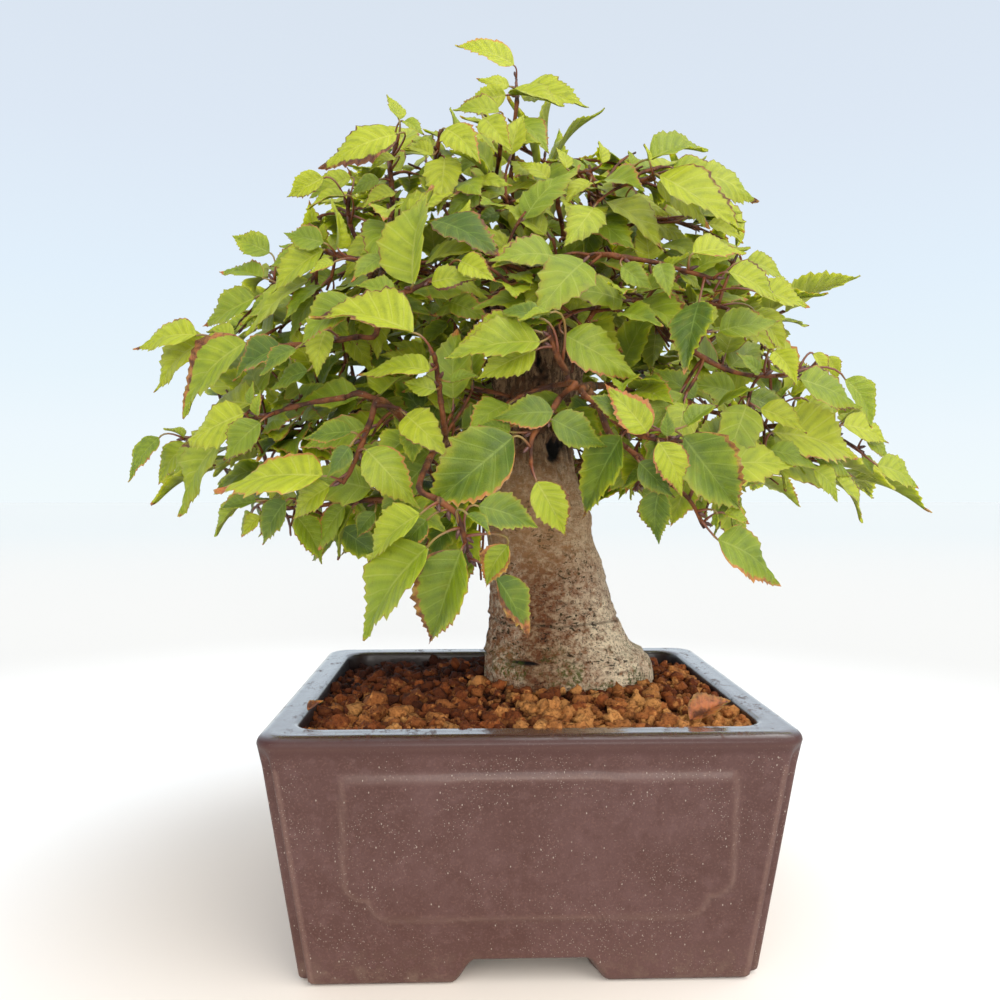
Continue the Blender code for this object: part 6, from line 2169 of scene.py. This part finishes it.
def pot_material():
    """Brown-mauve fired clay under a thin glaze, with pale specks and scratches, paler at its brinks from
    thin glaze and a painted highlight, and painted dark inside as shade.
    """
    n = Nodes("pot_glaze")
    place = n.place()
    cloud = n.noise(place, 38.0, 4.0, 0.6)
    mottle = n.noise(place, 260.0, 5.0, 0.65)
    fine = n.noise(place, 1500.0, 3.0, 0.6)
    brink_glaze_and_highlight, sill, low = n.note("glaze")
    height = n.split(place)[2]
    colour = n.mix(n.step(cloud, 0.36, 0.64), tint(94, 60, 53), tint(104, 71, 66))
    colour = n.mix(n.step(mottle, 0.5, 0.68) * 0.45, colour, tint(86, 50, 42))
    colour = n.mix(n.step(mottle, 0.48, 0.34) * 0.35, colour, tint(120, 88, 84))
    colour = n.mix(n.step(fine, 0.5, 0.72) * 0.4, colour, tint(132, 96, 86))
    dots = n.cells(n.stretch(place, 1.0, 1.0, 0.55), 640.0)
    speck = n.step(dots, 0.13, 0.06) * n.step(n.noise(place, 260.0, 2.0), 0.47, 0.55)
    dust = n.step(n.cells(place, 1300.0), 0.22, 0.1) * n.step(n.noise(place, 60.0, 3.0), 0.42, 0.6)
    scratch = n.step(n.cells(n.stretch(place, 0.2, 0.2, 1.0), 620.0), 0.06, 0.03)
    scratch = scratch * n.step(n.noise(place, 90.0, 2.0), 0.54, 0.62)
    pale = n.most(n.most(speck * 0.65, scratch * 0.7), dust * 0.5)
    colour = n.mix(pale, colour, tint(206, 186, 172))
    collar = n.step(height, 0.0625, 0.0652) * n.step(height, 0.069, 0.0684)
    colour = n.mix(collar * 0.8, colour, tint(80, 42, 37))
    # paler along brinks and notches: thin glaze and a painted highlight
    worn_and_highlit = brink_glaze_and_highlight * n.step(mottle + fine * 0.3, 0.38, 0.72)
    colour = n.mix(worn_and_highlit * 0.16 + brink_glaze_and_highlight * 0.07, colour, tint(182, 146, 130))
    scuffed = sill * n.step(n.noise(n.stretch(place, 1.0, 0.6, 1.0), 200.0, 7.0, 0.8), 0.54, 0.62)
    colour = n.mix(scuffed * 0.8, colour, tint(116, 72, 44))
    colour = n.mix(sill * 0.35, colour, tint(70, 46, 44))
    dusty = low * n.step(mottle, 0.4, 0.7)
    colour = n.mix(dusty * 0.3, colour, tint(160, 134, 116))
    # painted shade: the pot's inside darkened
    colour = n.mix(n.note("hollow")[0] * 0.9, colour, tint(40, 28, 25))
    rough = 0.4 + mottle * 0.24 - sill * 0.28 + scuffed * 0.35
    normal = n.bump(mottle + fine * 0.35, 0.00022, 0.6)
    shiny = sill - scuffed * 0.75
    return n.finish(colour, rough, normal, Coat_Weight=shiny * 0.97 + 0.03, Coat_Roughness=0.12,
                    Coat_IOR=1.9, Specular_IOR_Level=shiny * 0.8 + 0.2)


def soil_material(bed):
    """Fired-clay grains from ochre to dark red-brown, darker towards the left and the back, and the bed
    between them; with painted shade low down on each grain and on the bed.
    """
    n = Nodes("soil_bed" if bed else "soil_grain")
    place = n.place()
    rough_cloud = n.noise(place, 900.0, 5.0, 0.7)
    pits = n.cells(place, 1300.0)
    if bed:
        # painted shade: the bed drawn dark, as the shade in the gaps between the grains
        colour = n.mix(rough_cloud, tint(44, 22, 14), tint(84, 44, 28))
    else:
        tone, darkness, up = n.note("grain")
        light = n.noise(place, 420.0, 3.0)
        pale_grain = n.mix(tone, tint(240, 170, 98), tint(188, 112, 58))
        middle = n.mix(tone, tint(172, 94, 46), tint(116, 58, 28))
        dark_grain = n.mix(tone, tint(86, 42, 21), tint(46, 24, 14))
        colour = n.mix(n.step(darkness, 0.18, 0.42), pale_grain, middle)
        colour = n.mix(n.step(darkness, 0.45, 0.8), colour, dark_grain)
        colour = n.mix(n.step(light, 0.54, 0.7) * n.step(darkness, 0.75, 0.3), colour, tint(244, 164, 92))
        colour = n.mix(n.step(rough_cloud, 0.52, 0.36) * 0.65, colour, tint(84, 38, 18))
        # painted shade: each grain darkened on its low side, down among the others
        colour = n.mix(n.step(up, 0.8, -1.6) * 0.85, colour, tint(50, 22, 12))
    normal = n.bump(rough_cloud + pits * 0.5, 0.0007, 0.8)
    return n.finish(colour, 0.92, normal, Specular_IOR_Level=0.15)


def burnt_share(n, share, across, ragged):
    """Where a leaf is browned: its tip, its left margin and its right margin, with ragged edges."""
    tip, left, right = n.note("burns")
    tip_burn = n.step(share + ragged + tip, 0.985, 1.05)
    left_burn = n.step(left * 0.8 + (ragged - across), 1.0, 1.07)
    right_burn = n.step(right * 0.8 + (ragged + across), 1.0, 1.07)
    return n.most(tip_burn, n.most(left_burn, right_burn))


def leaf_material(under):
    """A hornbeam blade: straight vein pairs, fine net, browned margins; with painted shade between the
    veins, and yellower margins that are partly their own colour and partly a painted glow.
    """
    n = Nodes("leaf_under" if under else "leaf_upper")
    place = n.place()
    along, across, share = n.note("veins")
    tone, chance, other = n.note("looks")
    side = abs(across)
    vein = abs(n.math("FRACT", along + 0.5) - 0.5)
    vein_line = n.step(vein, 0.075, 0.02)
    cloud = n.noise(place, 110.0, 3.0)
    blotch = n.noise(place, 420.0, 4.0, 0.6)
    net = n.cells(place, 1700.0, "DISTANCE_TO_EDGE")
    shade = n.math("ADD", tone, (cloud - 0.5) * 0.7, clamp=True)
    if under:
        colour = n.mix(shade, tint(130, 146, 38), tint(176, 183, 60))
        line = tint(184, 188, 96)
        height = vein_line * 0.5 + net * 0.3
    else:
        deep = n.mix(n.step(shade, 0.0, 0.5), tint(84, 110, 16), tint(146, 165, 21))
        colour = n.mix(n.step(shade, 0.42, 1.0), deep, tint(192, 200, 34))
        line = n.mix(shade, tint(132, 160, 62), tint(214, 216, 100))
        height = net * 0.5 - vein_line * 0.35
    colour = n.mix(n.step(blotch, 0.5, 0.75) * 0.3, colour, tint(146, 144, 24))
    colour = n.mix(n.step(blotch, 0.46, 0.3) * 0.25, colour, tint(62, 82, 12))
    # painted shade: darker midway between the veins, for the light and dark of the pleats
    colour = n.mix(n.step(vein, 0.2, 0.5) * 0.25, colour, tint(66, 90, 12))
    # yellower towards the margins and tip: partly the blade's own colour, partly a painted glow of light
    # through its thin edge
    reach = share * 0.25 + (cloud * 0.5 + side)
    colour = n.mix(n.step(reach, 1.05, 1.55) * 0.7, colour, tint(168, 168, 20))
    colour = n.mix(n.step(net, 0.1, 0.02) * 0.12, colour, line)
    colour = n.mix(n.most(vein_line * 0.45, n.step(side, 0.06, 0.015) * 0.65), colour, line)
    ragged = (blotch - 0.5) * 0.3
    rim_burn = n.step(side + ragged, 0.93, 1.02) * n.step(cloud, 0.4, 0.56)
    rim_burn = rim_burn * n.step(chance + share, 0.3, 0.9)
    colour = n.mix(rim_burn * 0.8, colour, n.mix(blotch, tint(176, 92, 46), tint(92, 46, 26)))
    aged = (other - 0.5) * 0.35 + blotch
    brown = n.mix(n.step(aged, 0.35, 0.68), tint(206, 122, 70), tint(98, 52, 29))
    colour = n.mix(burnt_share(n, share, across, ragged), colour, brown)
    normal = n.bump(height + n.noise(place, 1500.0, 3.0, 0.6) * 0.4, 0.00022, 0.7)
    rough = (0.64 if under else 0.46) + blotch * 0.16
    return n.finish(colour, rough, normal, Subsurface_Weight=0.5, Subsurface_Scale=0.0011,
                    Subsurface_Radius=(0.9, 1.0, 0.12), Specular_IOR_Level=0.26)


def stalk_material():
    """Leaf stalks: red at the twig, greener at the blade."""
    n = Nodes("petiole")
    share = n.note("veins")[2]
    chance = n.note("looks")[1]
    cloud = n.noise(n.place(), 500.0, 2.0)
    red = n.mix(cloud, tint(116, 52, 26), tint(156, 86, 42))
    green = n.mix(cloud, tint(146, 142, 44), tint(160, 112, 48))
    colour = n.mix(n.step(chance * 0.7 + share, 0.7, 1.3), red, green)
    normal = n.bump(cloud, 0.0001, 0.5)
    return n.finish(colour, 0.42, normal, Subsurface_Weight=0.15, Subsurface_Scale=0.001)


def bud_material():
    """Buds with brown scales."""
    n = Nodes("bud")
    scales = n.cells(n.place(), 1500.0)
    colour = n.mix(scales, tint(120, 60, 40), tint(70, 34, 24))
    return n.finish(colour, 0.5, n.bump(scales, 0.0002, 0.7))


def twig_material():
    """Shoots, shiny red-brown with pale pores where thin and with grey-brown bark where thick."""
    n = Nodes("twig_bark")
    place = n.place()
    thick = n.note("veins")[1]
    cloud = n.noise(place, 260.0, 4.0)
    pores = n.step(n.cells(n.stretch(place, 1.0, 1.0, 0.6), 1100.0), 0.16, 0.07)
    young = n.mix(n.step(cloud, 0.36, 0.64), tint(72, 37, 18), tint(144, 84, 42))
    cracks = n.noise(place, 900.0, 4.0, 0.7)
    flakes = n.noise(n.stretch(place, 1.3, 1.3, 0.7), 420.0, 5.0, 0.7)
    old = n.mix(n.step(flakes, 0.42, 0.6), tint(60, 38, 20), tint(156, 116, 74))
    old = n.mix(n.step(cracks, 0.5, 0.62) * 0.6, old, tint(44, 27, 17))
    colour = n.mix(n.step(thick, 0.7, 1.1), young, old)
    colour = n.mix(pores * 0.55, colour, tint(196, 170, 142))
    relief = cracks * 0.8 + (pores * 0.4 + cloud)
    return n.finish(colour, 0.6, n.bump(relief, 0.0006, 0.8), Specular_IOR_Level=0.18)


def head_wood(n, place):
    """The trunk's knobbed head: pale and dark fibres with brown patches, and their relief."""
    fibre = n.noise(n.stretch(place, 1.8, 1.8, 0.35), 330.0, 5.0, 0.75)
    colour = n.mix(n.step(fibre, 0.44, 0.6), tint(76, 48, 32), tint(224, 180, 138))
    return n.mix(n.step(n.noise(place, 180.0, 3.0), 0.52, 0.64), colour, tint(130, 82, 54)), fibre


def bark_pores(n, place):
    """Dark pores and larger pits, crowded in patches."""
    crowd = n.step(n.noise(place, 110.0, 3.0), 0.47, 0.58)
    pores = crowd * 0.09 + n.noise(n.stretch(place, 0.8, 0.8, 1.2), 1000.0, 2.0, 0.5)
    pits = crowd * 0.1 + n.noise(n.stretch(place, 0.6, 0.6, 1.2), 560.0, 3.0, 0.6)
    return n.most(n.step(pores, 0.68, 0.73), n.step(pits, 0.71, 0.75))


def bark_material():
    """Old bark: cream and pinkish skin with brown patches, dark pores, creases and green algae, with
    painted light on its right side, painted shade on its left, lightened under the crown and darkened in
    its crease and hollows.
    """
    n = Nodes("trunk_bark")
    place = n.place()
    lift = n.note("veins")[2]
    sideways, _, height = n.split(place)
    broad = n.noise(place, 55.0, 4.0, 0.6)
    patch = n.noise(n.stretch(place, 1.0, 1.0, 1.3), 340.0, 6.0, 0.75)
    grain = n.noise(place, 1000.0, 5.0, 0.75)
    bands = n.noise(n.stretch(place, 0.3, 0.3, 2.6), 330.0, 4.0, 0.65)
    # painted light: 0 on the trunk's left and 1 on its right, so the right side is drawn paler and
    # creamier, as lit
    painted_sunlit_side = n.step((broad - 0.5) * 0.008 + sideways, -0.002, 0.024)
    cream = n.step(painted_sunlit_side * 0.14 + patch, 0.42, 0.7)
    colour = n.mix(cream, tint(186, 124, 80), BARK_CREAM)
    colour = n.mix(n.step(broad, 0.45, 0.6) * 0.4, colour, tint(200, 142, 108))
    colour = n.mix(n.step(bands, 0.54, 0.64) * 0.3, colour, tint(130, 88, 60))
    rust = n.step(n.noise(place, 380.0, 4.0), 0.54, 0.68) * 0.45
    colour = n.mix(rust, colour, tint(164, 96, 56))
    colour = n.mix(n.step(grain, 0.52, 0.6) * 0.72, colour, tint(88, 54, 35))
    # pale chalky flecks, stronger where the painted light falls
    chalk = n.step(n.noise(place, 700.0, 5.0, 0.75), 0.56, 0.63) * (painted_sunlit_side * 0.5 + 0.3)
    colour = n.mix(chalk, colour, BARK_CREAM)
    pores = bark_pores(n, place)
    colour = n.mix(pores * 0.85, colour, tint(46, 32, 22))
    # painted shade: the left side darkened below 100 to 124 mm, all but a pale strip at its far left edge
    shade = (1.0 - painted_sunlit_side) * (1.0 - n.step(sideways, -0.0045, -0.0085)) * n.step(height, 0.124, 0.1)
    colour = n.mix(shade * 0.8, colour, BARK_SHADE, "MULTIPLY")
    # painted light: the upper trunk, which the crown shades, lightened from 98 mm up
    colour = n.mix(n.step(height, 0.098, 0.122) * 0.55, colour, tint(252, 198, 140))
    head = n.step(height, 0.128, 0.15)
    wood, fibre = head_wood(n, place)
    colour = n.mix(head * 0.85, colour, wood)
    # painted shade: a dark line along the trunk's crease near 89 mm
    wave = (broad - 0.5) * 0.003 + height
    ring = n.step(abs(wave - 0.0888), 0.0006, 0.0002)
    colour = n.mix(ring * 0.5, colour, tint(70, 48, 34))
    # painted shade: the bark darkened nearly to black where it sinks deep, in its hollows
    colour = n.mix(n.step(lift, -0.7, -2.0), colour, tint(26, 17, 12))
    moss = n.step(n.noise(place, 120.0, 4.0), 0.5, 0.6) * n.step(height, 0.086, 0.073)
    moss = moss * n.step(grain, 0.42, 0.56)
    colour = n.mix(moss * 0.85, colour, tint(92, 104, 26))
    colour = n.mix(pores * n.step(broad, 0.5, 0.6) * 0.5, colour, tint(66, 70, 30))
    relief = grain * 0.7 + patch * 0.8 - pores * 0.7 - bands * 0.4 + head * fibre * 2.4
    return n.finish(colour, 0.86, n.bump(relief, 0.0022, 1.0), Specular_IOR_Level=0.2)


def cut_material():
    """Sawn wood with faint rings."""
    n = Nodes("cut_wood")
    rings = n.noise(n.place(), 700.0, 3.0)
    colour = n.mix(rings, tint(206, 178, 142), tint(160, 124, 92))
    return n.finish(colour, 0.8, n.bump(rings, 0.0002, 0.6))


def make_floor():
    """A plain pale floor, warm near the pot and cooler and greyer away from it, made paler round the pot as
    painted light that washes out the pot's shadow.
    """
    n = Nodes("floor_pale")
    place = n.place()
    beside = n.add("ShaderNodeVectorMath", place, FLOOR_PAINTED_LIGHT_SHIFT, operation="ADD")
    away = n.add("ShaderNodeVectorMath", beside, operation="LENGTH", give="Value")
    colour = n.mix(n.noise(place, 3.0, 2.0), *FLOOR_NEAR)
    # painted light: a pale band round the pot, its middle shifted towards the pot's shadow, then darker
    # farther off
    for start, stop, shade in FLOOR_BANDS:
        colour = n.mix(n.step(away, start, stop), colour, shade)
    corners = [(x * FLOOR_HALF, y * FLOOR_HALF, 0.0) for x, y in ((-1, -1), (1, -1), (1, 1), (-1, 1))]
    mesh = bpy.data.meshes.new("floor")
    mesh.from_pydata(corners, [], [(0, 1, 2, 3)])
    mesh.materials.append(n.finish(colour, 0.85))
    floor = bpy.data.objects.new("floor", mesh)
    bpy.context.collection.objects.link(floor)


def make_world():
    """Soft light all round: pale blue above, white at eye level."""
    world = bpy.data.worlds.new("sky")
    bpy.context.scene.world = world
    world.use_nodes = True
    tree = world.node_tree
    back = tree.nodes["Background"]
    coords = tree.nodes.new("ShaderNodeTexCoord")
    split = tree.nodes.new("ShaderNodeSeparateXYZ")
    ramp = tree.nodes.new("ShaderNodeValToRGB")
    tree.links.new(coords.outputs["Generated"], split.inputs[0])
    tree.links.new(split.outputs[2], ramp.inputs[0])
    tree.links.new(ramp.outputs[0], back.inputs[0])
    stops = ramp.color_ramp.elements
    stops[0].color = to_linear(*SKY_LEVEL)
    stops[1].position, stops[1].color = SKY_TOP_AT, to_linear(*SKY_TOP)
    for height, shade in SKY_STOPS:
        stops.new(height).color = to_linear(*shade)


def add_sun(way, strength, spread):
    """Wide soft light from one direction; its spread in degrees."""
    lamp = bpy.data.lights.new("sun", "SUN")
    lamp.energy = strength
    lamp.angle = math.radians(spread)
    lamp.color = SUN_COLOUR
    holder = bpy.data.objects.new("sun", lamp)
    holder.rotation_euler = Vector(way).to_track_quat("Z", "Y").to_euler()
    bpy.context.collection.objects.link(holder)


def make_camera():
    """The camera at the photograph's place."""
    lens = bpy.data.cameras.new("eye")
    lens.sensor_width = 36.0
    lens.lens = 36.0 * EYE_FOCUS / FRAME
    lens.clip_start = 0.01
    eye = bpy.data.objects.new("eye", lens)
    bpy.context.collection.objects.link(eye)
    eye.location = (EYE + SHIFT) * MM
    yaw = math.atan((FRAME / 2.0 - EYE_COLUMN) / EYE_FOCUS)
    pitch = math.atan((FRAME / 2.0 - EYE_ROW) / EYE_FOCUS)
    eye.rotation_euler = (math.pi / 2.0 - pitch, 0.0, -yaw)
    bpy.context.scene.camera = eye


def make_stage():
    """Camera, sky, floor and lights."""
    make_camera()
    make_world()
    make_floor()
    for way, strength, spread in SUNS:
        add_sun(way, strength, spread)
    bpy.context.scene.view_settings.view_transform = "Standard"
    bpy.context.scene.view_settings.gamma = VIEW_GAMMA


def build_plant():
    """Trunk, branches, leafy shoots and side twigs."""
    twigs = place_twigs()
    knots, branches = grow_branches(twigs)
    solids = solid_trees(wood_shapes(knots, branches), twigs)
    placed = []
    place_seen_leaves(twigs, solids, placed)
    place_far_leaves(twigs, solids, placed)
    build_wood(knots, branches, [bark_material(), twig_material(), cut_material()])
    looks = [leaf_material(False), leaf_material(True), stalk_material(), bud_material(), twig_material()]
    build_sprays(twigs, branches, placed, looks)
    build_inner_shoots(grow_inner_shoots(twigs, branches, solids.values(), placed), looks)
    build_fallen(looks)


def main():
    """Dress every node."""
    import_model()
    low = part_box("pot")[0]
    SHIFT.xyz = (low.x / MM + RIM_HALF_X, low.y / MM + RIM_HALF_Y, 0.0)
    make_stage()
    build_pot(pot_material())
    build_soil_bed(soil_material(True))
    build_grains(soil_material(False))
    build_plant()


main()
